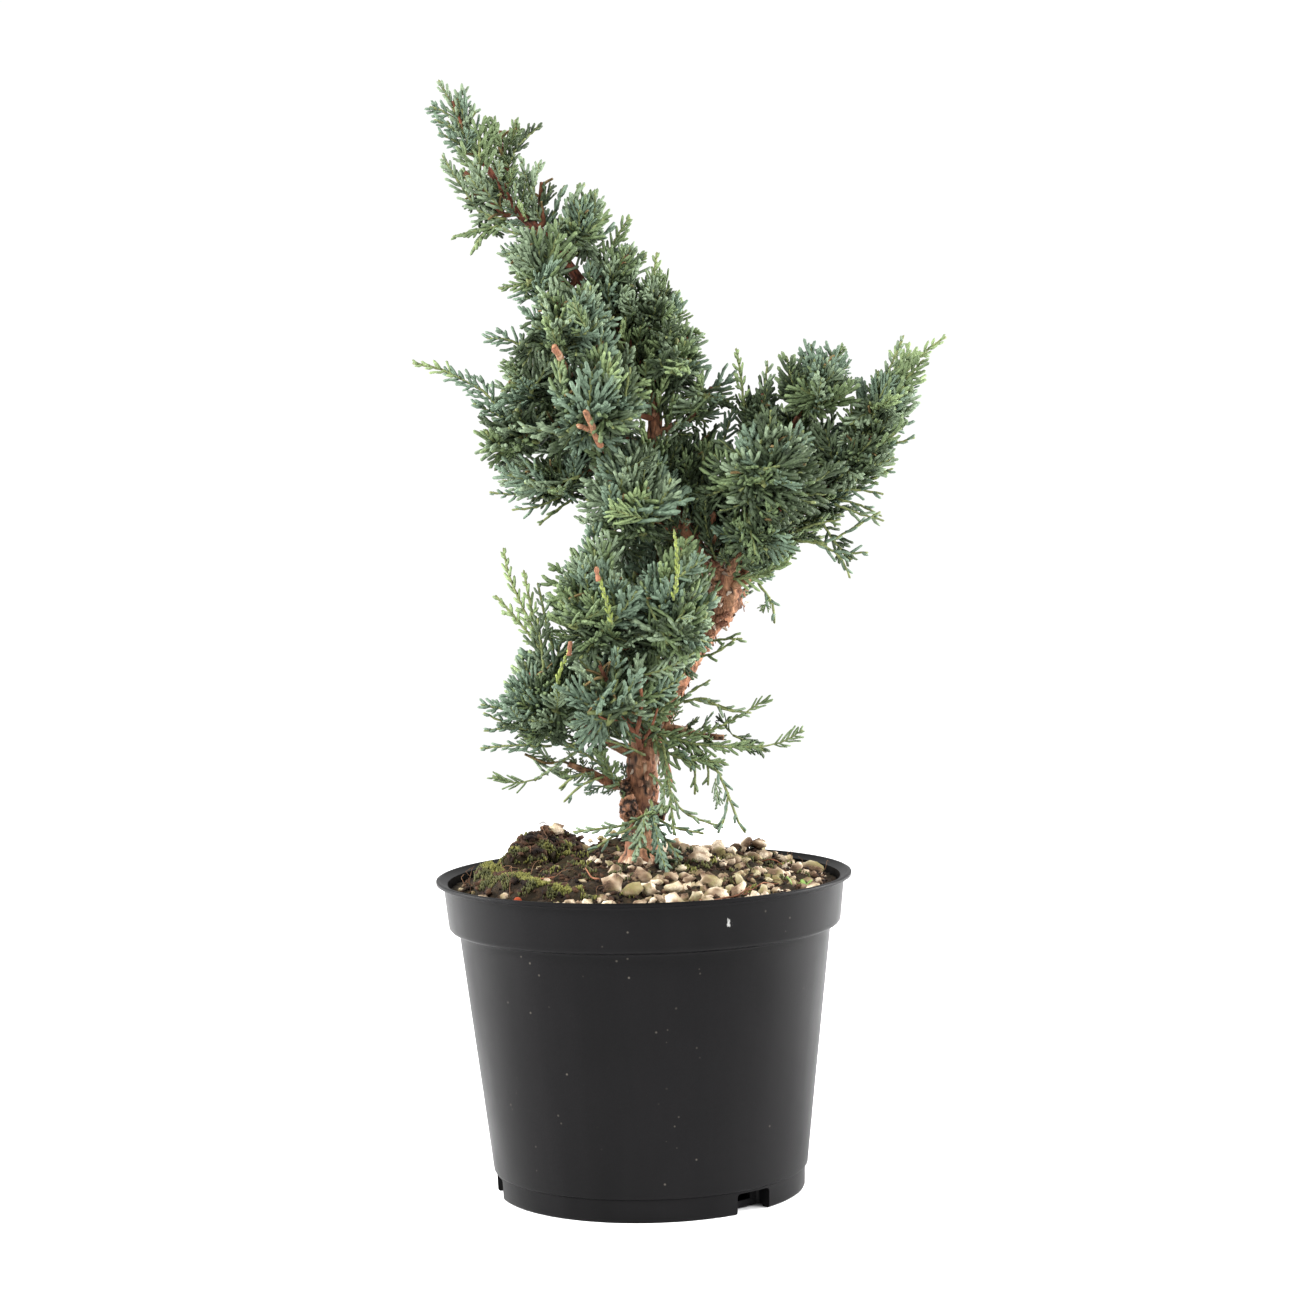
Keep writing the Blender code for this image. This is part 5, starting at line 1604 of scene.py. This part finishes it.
def deal(name, share, rng):
    """A green for a frond: `share` is 0 underneath a mass or inside it, and 1 on its top. Low shares
    get painted shade, mostly the deep green.
    """
    if share < 0.25 and rng.random() < 0.75:
        return "deep" if rng.random() < 0.75 else "green"
    shares = palette(name)
    return rng.choices(list(shares), list(shares.values()))[0]


def stamp_frond(frond, root, tip, across, lift, green, node):
    """One frond from root to tip, bowed upwards by a share of its length."""
    along = tip - root
    length = along.length
    size = length / frond.length
    rise = Vector((0, 0, 1)) - along * along.z / length**2
    for stamp, kind in ((frond.axis, "axis"), (frond.cords, green)):
        points = placed(stamp.points, root, along, across, size)
        share = np.clip(stamp.points[:, 2] / frond.length, 0, 1.2)
        bow = (share - share**2) * -lift * length
        heaps[kind].add(points + bow[:, None] * np.array(rise)[None, :], stamp.faces, node)


# %% [markdown]
# ## Growing a mass
# The rule has three steps. Twigs run from the stem to places three quarters of the way out,
# bowing upwards. Then a frond's tip is set at each place of a finer spiral, where its ray leaves
# the foliage, so that neighbouring masses melt into one another, and more are set deeper in. Each
# frond points outwards and up along its mass, and it starts at the twig point that suits it best.

# %% Twigs and fronds
TWIG_AREA = 430.0
FROND_AREA = 122.0
OPEN_FROND_AREA = 1500.0
THIN = {  # masses whose fronds stand further apart, by how their names start
    "leader": 4.2, "crest": 2.0, "right_t": 1.2, "crown_left_low": 1.5, "crown_right_low": 2.4,
    "lower_front": 2.2,
}
FROND_LENGTH = (16.0, 31.0)
SHORTEST = 6.0
FAR_SHARE = 0.22
INNER_SHARE = 0.42
GAPS = (((-38, 0, 436), 5), ((-23, 0, 417), 6), ((-61, -4, 464), 5))  # in the leader: place, size
BARE = (((41, 0, 270), 17), ((28, 0, 258), 8), ((0, 0, 165), 16), ((8, 0, 345), 6), *GAPS)
twig_runs = []
twiglet_runs = []


def grow_twigs(mass, rng):
    count = 0 if mass.open else max(5, round(mass.area() / TWIG_AREA))
    for number in range(count):
        target = mass.on_shell(number, count, rng.uniform(0.6, 0.78), rng)
        fork, heading = mass.fork_for(target)
        span = target - fork
        out = (span.normalized() * 0.8 + heading * 0.5).normalized()
        middle = fork + out * span.length * 0.5
        path = smooth_run([fork, middle.lerp(fork.lerp(target, 0.5), 0.5), target], 4)
        thick = rng.uniform(0.6, 0.85) * MM
        mass.twigs.append(path)
        twig_runs.append((path, [thick * (1 - 0.35 * i / (len(path) - 1)) for i in range(len(path))]))
    stem = mass.stem.points
    mass.forks = [point for path in mass.twigs for point in path[2:]] + stem[len(stem) // 2:]


def heading_at(mass, tip, rng):
    """Where a frond points: outwards and up along its mass, with a will of its own."""
    out = (tip - mass.heart).normalized()
    along = mass.turn @ Vector((0, 0, 1))
    low = min(max(-out.dot(along) - 0.2, 0.0), 1.0)
    upward = Vector((0, 0, 0.3))
    return (out + along * 0.6 * (1 - low) + upward + stray(0.32, rng)).normalized()


def hides_bark(place):
    """Whether a place lies right in front of a gap that shows the leader's bark."""
    return place.y < 0 and any(
        math.hypot(place.x / MM - spot[0], place.z / MM - spot[2]) < 0.6 * size for spot, size in GAPS
    )


def root_for(mass, tip, length, heading):
    """The twig point from which a frond of this length best reaches its tip."""
    def unfit(point):
        way = tip - point
        return abs(way.length - length) / length + 1.1 * (1 - way.normalized().dot(heading))

    return min(mass.forks, key=unfit)


def grow_frond(mass, tip, rng, inner=False, stamps=None):
    """A frond with its tip at a place. A twiglet carries it where no twig is near enough."""
    length = rng.uniform(*FROND_LENGTH) * MM * min(1.0, 0.72 + 0.28 * min(mass.reach) / (18 * MM))
    if inner:
        length *= 0.8
    heading = heading_at(mass, tip, rng)
    fork = root_for(mass, tip, length, heading)
    way = tip - fork
    if way.length < SHORTEST * MM or hides_bark(tip) or hides_bark(tip.lerp(fork, 0.5)):
        return
    root = fork
    if way.length > length * 1.15:
        root = tip - (way.normalized() * 0.6 + heading * 0.4).normalized() * length
        run = [fork, fork.lerp(root, 0.5), root + way.normalized() * 2 * MM]
        twiglet_runs.append((run, [0.6 * MM, 0.55 * MM, 0.5 * MM]))
    across = stray(1, rng)
    across += Vector((1.0, 0, 0)) * math.copysign(1, across.x)
    # how high the frond sits on its mass; low and inner fronds are dealt painted shade
    top = 0.2 if inner else 0.5 + 0.5 * (tip - mass.heart).normalized().z + rng.uniform(-0.1, 0.1)
    frond = rng.choice(stamps or (plain_fronds if inner else full_fronds))
    lift = rng.uniform(0.0, 0.25)
    stamp_frond(frond, root, tip, across, lift, deal(mass.name, top, rng), mass.name)


for number, mass in enumerate(masses.values()):
    rng = random.Random(SEED + 7 * number)
    grow_twigs(mass, rng)
    thin = next((share for start, share in THIN.items() if mass.name.startswith(start)), 1.0)
    count = round(mass.area() / (OPEN_FROND_AREA if mass.open else FROND_AREA * thin))
    for index in range(count):
        tip = mass.on_skin(index, count, rng)
        if tip:
            far = rng.random() < FAR_SHARE
            past = rng.uniform(0.04, 0.24) if far else -rng.uniform(0.02, 0.2)
            past += 0.22 * noise.noise(tip / MM * 0.085 + Vector((number, 0, 0)))
            grow_frond(mass, tip + (tip - mass.heart) * past, rng, stamps=slim_fronds if far else None)
    inner = 0 if mass.open or mass.name.startswith("leader") else int(count * INNER_SHARE)
    for index in range(inner):
        grow_frond(mass, mass.on_shell(index, inner, rng.uniform(0.42, 0.72), rng), rng, inner=True)
print("twigs:", len(twig_runs), "twiglets:", len(twiglet_runs))

# %% [markdown]
# The trunk and boughs are not bare between the masses: short fronds grow straight from their
# bark. They are set along the limbs in a golden-angle spiral too, and left out where the plant
# shows its bark: at the foot, at the knuckle and below it, at one bend in the crown, and in three
# gaps of the leader. The right side of the lower trunk is bare as well.

# %% Fronds on the limbs
LOWER_TRUNK = 0.34
SLEEVES = (  # limb, from, to, gap in millimetres, lengths of the fronds
    ("trunk", 0.14, 0.33, 0.8, (11, 17)), ("trunk", 0.45, 0.78, 0.65, (13, 22)),
    ("trunk", 0.78, 0.9, 1.3, (9, 15)), ("trunk", 0.9, 1.0, 0.8, (9, 14)),
    ("right_front_bough", 0.2, 1.0, 1.0, (13, 20)), ("right_top_bough", 0.2, 1.0, 0.9, (14, 22)),
    ("right_tip_bough", 0.25, 1.0, 0.8, (14, 22)), ("right_back_bough", 0.25, 1.0, 1.3, (14, 22)),
    ("right_low_bough", 0.2, 1.0, 1.1, (11, 15)), ("column_bough", 0.05, 1.0, 0.8, (14, 20)),
    ("mid_front_bough", 0.2, 1.0, 1.3, (12, 18)), ("lower_left_bough", 0.5, 1.0, 1.5, (12, 16)),
    ("crown_left_bough", 0.35, 1.0, 1.1, (12, 20)), ("crown_right_bough", 0.1, 1.0, 1.0, (12, 18)),
    ("low_left_bough", 0.15, 1.0, 2.2, (8, 12)), ("low_right_bough", 0.05, 0.9, 2.6, (9, 13)),
)


def sleeve(limb, start, end, gap, lengths, rng):
    grown = 0
    for index in range(int((end - start) * limb.marks[-1] / MM / gap)):
        share = start + index * gap * MM / limb.marks[-1]
        place, heading, radius = limb.at_share(min(share, 1.0))
        if any((place / MM - Vector(spot)).length < size for spot, size in BARE):
            continue
        side = Matrix.Rotation(index * GOLDEN_ANGLE, 3, heading) @ heading.orthogonal().normalized()
        if limb is trunk and share < LOWER_TRUNK and side.x > 0.1:
            continue
        way = (side + heading * 0.55 + Vector((0, 0, 0.35))).normalized()
        root = place + side * radius * 0.7
        tip = root + way * rng.uniform(*lengths) * MM
        name = nearest_mass(tip)
        across = way.cross(stray(1, rng))
        frond, lift = rng.choice(slim_fronds), rng.uniform(0, 0.2)
        stamp_frond(frond, root, tip, across, lift, deal(name, rng.random(), rng), name)
        grown += 1
    return grown


rng = random.Random(SEED + 9)
print("fronds on the limbs:", sum(sleeve(limbs[name], *sizes, rng) for name, *sizes in SLEEVES))

# %% [markdown]
# ## Long shoots
# Some shoots stand out past their mass or hang below it. They give the plant its wild look, so
# each is drawn along a path of its own: an axis that bows from its limb to its tip, with cords
# that shorten towards the end. There are full plumes, small fans, slim sprigs, thin strands that
# have few cords, young upright wands, and tips with the sharp needle leaves that a young juniper
# still makes.

# %% Shoots
PLUME = {"longest": 9.0, "gap": 2.0, "bare": 0.05}
FAN = {"longest": 7.0, "gap": 1.8, "bare": 0.0}
SPRIG = {"longest": 6.0, "gap": 2.6, "bare": 0.1, "radius": 0.95}
STRAND = {"longest": 7.0, "gap": 5.0, "bare": 0.15, "full": False, "radius": 0.95}
NEEDLE = {"longest": 7.6, "gap": 1.2, "bare": 0.25, "full": False, "radius": 0.62, "spread": 36.0}
WAND = {"longest": 3.2, "gap": 1.9, "bare": 0.0, "full": False, "radius": 0.85, "spread": 24.0}
SHOOTS = (  # mass, then the green, kind and path in millimetres of each shoot on it
    ("leader_tip",
     ("sage", FAN, ((-64, -4, 468), (-69, -4, 476), (-74, -4, 485), (-78, -4, 496), (-83, -4, 506))),
     ("sage", FAN, ((-75, -4, 489), (-74, -5, 496), (-72, -6, 502))),
     ("sage", FAN, ((-72, -4, 481), (-70, -6, 487), (-66, -8, 492))),
     ("blue", FAN, ((-78, -4, 490), (-83, -6, 493), (-87, -7, 494))),
     ("blue", FAN, ((-74, -4, 482), (-80, -7, 486), (-85, -9, 488))),
     ("blue", FAN, ((-71, -4, 475), (-77, -8, 479), (-83, -10, 482)))),
    ("leader_right",
     ("green", FAN, ((-52, 0, 459), (-53, 0, 470), (-51, 0, 479), (-49, 0, 488))),
     ("deep", FAN, ((-53, 0, 468), (-48, -3, 477), (-38, -4, 485))),
     ("green", FAN, ((-53, 0, 466), (-57, -3, 477), (-60, -4, 489)))),
    ("leader_left",
     ("sage", PLUME,
      ((-54, -8, 443), (-66, -9, 447), (-73, -10, 457), (-78, -10, 465), (-82, -10, 472))),
     ("sage", PLUME, ((-56, -8, 447), (-63, -12, 456), (-68, -14, 468))),
     ("green", FAN, ((-52, -6, 442), (-64, -9, 439), (-78, -10, 436))),
     ("green", FAN, ((-62, -8, 440), (-66, -10, 435), (-69, -12, 430))),
     ("sage", FAN, ((-40, -4, 437), (-48, -12, 436), (-57, -14, 439)))),
    ("leader_mid",
     ("sage", PLUME, ((-38, 0, 440), (-42, -2, 450), (-45, -3, 461), (-47, -4, 471))),
     ("sage", FAN, ((-43, -2, 454), (-41, -4, 461), (-39, -5, 468))),
     ("blue", FAN, ((-38, 2, 438), (-33, 1, 446), (-28, 0, 458)))),
    ("crest_right_high",
     ("sage", PLUME, ((-24, 0, 430), (-26, -3, 441), (-24, -4, 450), (-19, -5, 458))),
     ("sage", PLUME, ((-20, 2, 424), (-16, 0, 438), (-14, -2, 454))),
     ("green", PLUME, ((-13, 1, 418), (-7, 0, 431), (1, -1, 443)))),
    ("crest_right_low",
     ("green", PLUME, ((-12, 2, 411), (-4, 0, 419), (8, -1, 426))),
     ("fresh", SPRIG, ((8, 2, 402), (11, 0, 414), (13, 0, 427)))),
    ("crest_left",
     ("sage", PLUME, ((-30, -4, 426), (-42, -12, 428), (-57, -14, 427))),
     ("green", PLUME, ((-22, -6, 411), (-40, -14, 414), (-58, -14, 412)))),
    ("right_top_left",
     ("fresh", SPRIG, ((51, 2, 354), (50, 2, 368), (48, 2, 383))),
     ("sage", SPRIG, ((60, 2, 360), (61, 2, 369), (62, 2, 377)))),
    ("right_tip", ("sage", SPRIG, ((111, 2, 362), (118, 2, 374), (124, 2, 387)))),
    ("column_right", ("blue", PLUME, ((34, 5, 332), (42, 4, 344), (46, 4, 357)))),
    ("mid_front_right",
     ("green", PLUME, ((6, -14, 212), (12, -16, 223), (18, -16, 235))),
     ("sage", PLUME, ((10, -14, 226), (18, -15, 238), (27, -14, 250)))),
    ("low_left",
     ("blue", PLUME, ((-38, -18, 216), (-55, -20, 222), (-71, -20, 226))),
     ("blue", SPRIG, ((-40, -16, 206), (-56, -18, 207), (-72, -18, 206)))),
    ("mid_front_left",
     ("fresh", SPRIG,
      ((-43, -26, 252), (-48, -27, 263), (-53, -26, 274), (-57, -26, 285), (-59, -26, 296))),
     ("fresh", SPRIG, ((-43, -26, 250), (-49, -26, 258), (-56, -26, 267), (-63, -26, 275))),
     ("fresh", SPRIG, ((-44, -26, 254), (-47, -28, 268), (-50, -30, 286))),
     ("sage", SPRIG, ((-38, -24, 250), (-41, -26, 264), (-44, -26, 280)))),
    ("mid_front_right",
     ("bright", WAND, ((16, -46, 272), (18, -49, 283), (18, -50, 294), (17, -49, 303)))),
    ("mid_front_left", ("bright", WAND, ((-11, -48, 262), (-14, -51, 275), (-17, -51, 285)))),
    ("lower_left", ("bright", WAND, ((-37, -38, 229), (-35, -43, 241), (-30, -44, 252)))),
    ("crown_left_high",
     ("blue", PLUME, ((-60, -12, 358), (-66, -12, 366), (-76, -10, 372), (-84, -8, 376))),
     ("fresh", SPRIG, ((-76, -10, 372), (-86, -8, 377), (-98, -7, 380)))),
    ("right_tip",
     ("fresh", SPRIG, ((118, 2, 362), (126, 2, 372), (134, 2, 380), (143, 2, 386))),
     ("green", PLUME, ((108, 2, 352), (116, 1, 366), (126, 0, 378)))),
    ("right_droop",
     ("blue", STRAND, ((72, -16, 296), (85, -18, 295), (96, -18, 300), (110, -18, 308))),
     ("blue", STRAND, ((80, -18, 296), (91, -18, 289), (96, -18, 279))),
     ("blue", STRAND, ((86, -18, 292), (94, -18, 290), (104, -18, 290))),
     ("sage", STRAND, ((90, -12, 312), (102, -12, 307), (112, -12, 304))),
     ("blue", STRAND, ((92, -8, 318), (101, -10, 318), (112, -12, 316))),
     ("blue", STRAND, ((92, -8, 314), (102, -10, 311), (111, -12, 306)))),
    ("right_tip_low",
     ("blue", STRAND, ((96, -4, 326), (106, -6, 325), (117, -8, 327))),
     ("blue", STRAND, ((104, -4, 336), (114, -6, 337), (127, -8, 341)))),
    ("crown_left", ("blue", PLUME, ((-48, -10, 350), (-59, -12, 355), (-71, -12, 361)))),
    ("crown_left_high", ("blue", PLUME, ((-44, -10, 383), (-54, -12, 389), (-64, -12, 390)))),
    ("crown_left_low",
     ("blue", STRAND, ((-32, -8, 319), (-44, -10, 314), (-55, -10, 313))),
     ("green", STRAND, ((-28, -8, 317), (-37, -11, 311), (-43, -12, 306))),
     ("blue", SPRIG, ((-38, -6, 324), (-52, -8, 320), (-65, -8, 321)))),
    ("right_droop", ("green", STRAND, ((70, -16, 299), (80, -18, 303), (92, -18, 305)))),
    ("knuckle_sprig",
     ("green", STRAND, ((47, -4, 279), (56, -8, 281), (67, -8, 287))),
     ("blue", STRAND, ((55, -8, 277), (61, -10, 268), (62, -10, 259)))),
    ("mid_front_right",
     ("green", STRAND, ((33, -2, 251), (40, -8, 252), (47, -10, 252))),
     ("sage", PLUME, ((0, -32, 238), (12, -36, 241), (25, -34, 248))),
     ("blue", PLUME, ((-3, -30, 228), (8, -33, 230), (20, -31, 238))),
     ("green", PLUME, ((0, -22, 216), (8, -26, 220), (15, -28, 228))),
     ("blue", PLUME, ((14, -36, 262), (24, -38, 256), (31, -34, 252)))),
    ("right_low",
     ("green", PLUME, ((42, -6, 281), (50, -16, 288), (60, -24, 296))),
     ("fresh", PLUME, ((44, -8, 279), (56, -18, 281), (68, -24, 287)))),
    ("right_front",
     ("green", PLUME, ((38, -6, 284), (42, -16, 297), (46, -26, 311))),
     ("deep", PLUME, ((36, -6, 288), (32, -13, 303), (32, -18, 320)))),
    ("low_right",
     ("green", PLUME, ((3, -8, 212), (22, -16, 206), (40, -20, 204), (55, -22, 204))),
     ("green", NEEDLE, ((54, -22, 204), (64, -22, 206), (73, -22, 211))),
     ("green", SPRIG, ((5, -8, 209), (22, -14, 209), (36, -16, 213), (47, -18, 219))),
     ("green", NEEDLE, ((46, -18, 218), (52, -18, 222), (58, -18, 225))),
     ("sage", STRAND, ((6, -10, 216), (21, -14, 225), (34, -16, 223), (43, -18, 220))),
     ("sage", STRAND, ((6, -10, 214), (13, -12, 221), (22, -14, 228), (32, -16, 234))),
     ("sage", STRAND, ((20, -14, 224), (29, -16, 226), (38, -18, 221), (50, -18, 219)))),
    ("mid_front_right", ("green", STRAND, ((27, -4, 244), (35, -10, 246), (44, -12, 252)))),
    ("low_right",
     ("green", STRAND, ((20, -14, 206), (24, -16, 198), (24, -18, 183))),
     ("green", STRAND, ((26, -16, 203), (30, -18, 196), (30, -18, 187))),
     ("blue", SPRIG, ((8, -12, 208), (18, -18, 202), (24, -22, 194))),
     ("green", FAN, ((6, -12, 206), (16, -18, 200), (28, -20, 198), (38, -22, 197)))),
    ("hanging_right",
     ("blue", STRAND, ((22, -14, 206), (32, -20, 197), (38, -24, 185), (43, -26, 171), (46, -26, 166))),
     ("blue", STRAND, ((39, -24, 184), (37, -24, 173), (34, -24, 166)))),
    ("hanging_front",
     ("sage", STRAND, ((7, -12, 207), (10, -16, 198), (12, -18, 187), (19, -20, 175), (36, -22, 168))),
     ("green", SPRIG, ((10, -18, 206), (12, -24, 195), (13, -27, 181), (14, -28, 166))),
     ("sage", SPRIG, ((4, -12, 192), (10, -22, 186), (8, -26, 176)))),
    ("base_shoot",
     ("sage", SPRIG, ((4, -14, 175), (-8, -20, 170), (-19, -24, 169), (-31, -26, 168))),
     ("blue", STRAND, ((-1, -16, 169), (-12, -24, 166), (-24, -28, 159))),
     ("blue", STRAND, ((6, -14, 172), (15, -20, 168), (27, -26, 166))),
     ("blue", PLUME, ((4, -12, 180), (6, -24, 169), (8, -34, 158), (11, -40, 151))),
     ("sage", PLUME, ((2, -12, 176), (0, -24, 167), (-4, -34, 156))),
     ("blue", SPRIG, ((4, -12, 172), (10, -24, 164), (17, -32, 155)))),
    ("low_left",
     ("blue", SPRIG, ((-9, -6, 188), (-20, -12, 198), (-31, -16, 206), (-43, -18, 212))),
     ("blue", SPRIG, ((-26, -12, 202), (-40, -18, 209), (-54, -20, 215), (-70, -20, 214))),
     ("blue", STRAND, ((-38, -16, 208), (-54, -18, 214), (-70, -18, 222))),
     ("sage", WAND, ((-28, -14, 204), (-37, -16, 198), (-48, -18, 191))),
     ("green", NEEDLE, ((-46, -18, 192), (-56, -18, 190), (-67, -18, 193))),
     ("blue", STRAND, ((-17, -10, 191), (-27, -16, 188), (-35, -18, 181))),
     ("green", STRAND, ((-22, -12, 193), (-30, -16, 192), (-37, -18, 187))),
     ("green", PLUME, ((-10, -6, 186), (-14, -14, 194), (-18, -18, 204)))),
    ("lower_front",
     ("blue", STRAND, ((2, -8, 200), (-8, -20, 206), (-20, -26, 210), (-30, -28, 208))),
     ("deep", PLUME, ((2, -8, 204), (4, -16, 214), (8, -20, 226), (12, -22, 238)))),
)
FACING = Vector((0.55, 0.1, 0.8))


def path_through(points):
    """An even path through bends given in millimetres."""
    run = Limb("path", [Vector(point) * MM for point in points], [MM] * len(points))
    return run.evenly(CORD_STEP * MM)[0]


rng = random.Random(SEED + 3)
for name, *shoots in SHOOTS:
    for green, kind, points in shoots:
        axis, cords = bmesh.new(), bmesh.new()
        path, across = path_through(points), FACING + stray(0.25, rng)
        add_frond(axis, cords, path, across, rng, **kind)
        for shape, heap in ((axis, heaps["axis"]), (cords, heaps[green])):
            stamp = Stamp(shape)
            heap.add(stamp.points, stamp.faces, name)
print("shoots:", sum(len(shoots) for _, *shoots in SHOOTS))

# %% [markdown]
# ## Wood of the masses
# All stems, twigs and twiglets are tubes on curves, which Blender makes in one go from many
# splines. The stems are red-brown wood, and the twigs still have an olive skin.

# %% Stems and twigs
names = list(MASSES)
FORKS = (  # bare twigs low in front: points, then the radius at the foot
    (((0, -6, 203), (-2, -22, 211), (-8, -31, 219), (-15, -37, 228)), 1.5),
    (((-2, -22, 211), (0, -31, 219), (1, -36, 229), (0, -40, 239)), 1.2),
    (((1, -12, 207), (5, -24, 214), (8, -30, 223)), 0.9),
    (((-8, -31, 219), (-14, -35, 219), (-20, -38, 222)), 0.8),
)
stem_runs = [(mass.stem.points, mass.stem.radii) for mass in masses.values() if not mass.open]
for points, radius in FORKS:
    run = smooth_run([Vector(point) * MM for point in points], 6)
    stem_runs.append((run, [radius * (1 - 0.5 * i / len(run)) * MM for i in range(len(run))]))
for name in ("low_left", "base_shoot"):
    points = masses[name].stem.points
    twig_runs.append((points, [0.6 * MM] * len(points)))
stem_finish = brown("stem_wood", (0.055, 0.02, 0.011), (0.2, 0.08, 0.045))
piece_from("mass_stems", curve_mesh("mass_stems", stem_runs, 1), stem_finish, "bark", names)
twig_finish = brown("twig_skin", (0.07, 0.05, 0.022), (0.2, 0.14, 0.06))
twigs = curve_mesh("mass_twigs", twig_runs + twiglet_runs, 0)
piece_from("mass_twigs", twigs, twig_finish, "bark", names)
for heap in heaps.values():
    heap.make()

# %% [markdown]
# ## Sizes
# The sizes of the solids and of the dressed plant are set side by side, and the dressed size is
# printed.

# %% Sizes
dressed_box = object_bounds()
sizes = {
    "solids": [list(corner) for corner in solid_box],
    "dressed": [list(corner) for corner in dressed_box],
}
print("dressed size in mm:", [round((high - low) / MM, 1) for low, high in zip(*dressed_box)])
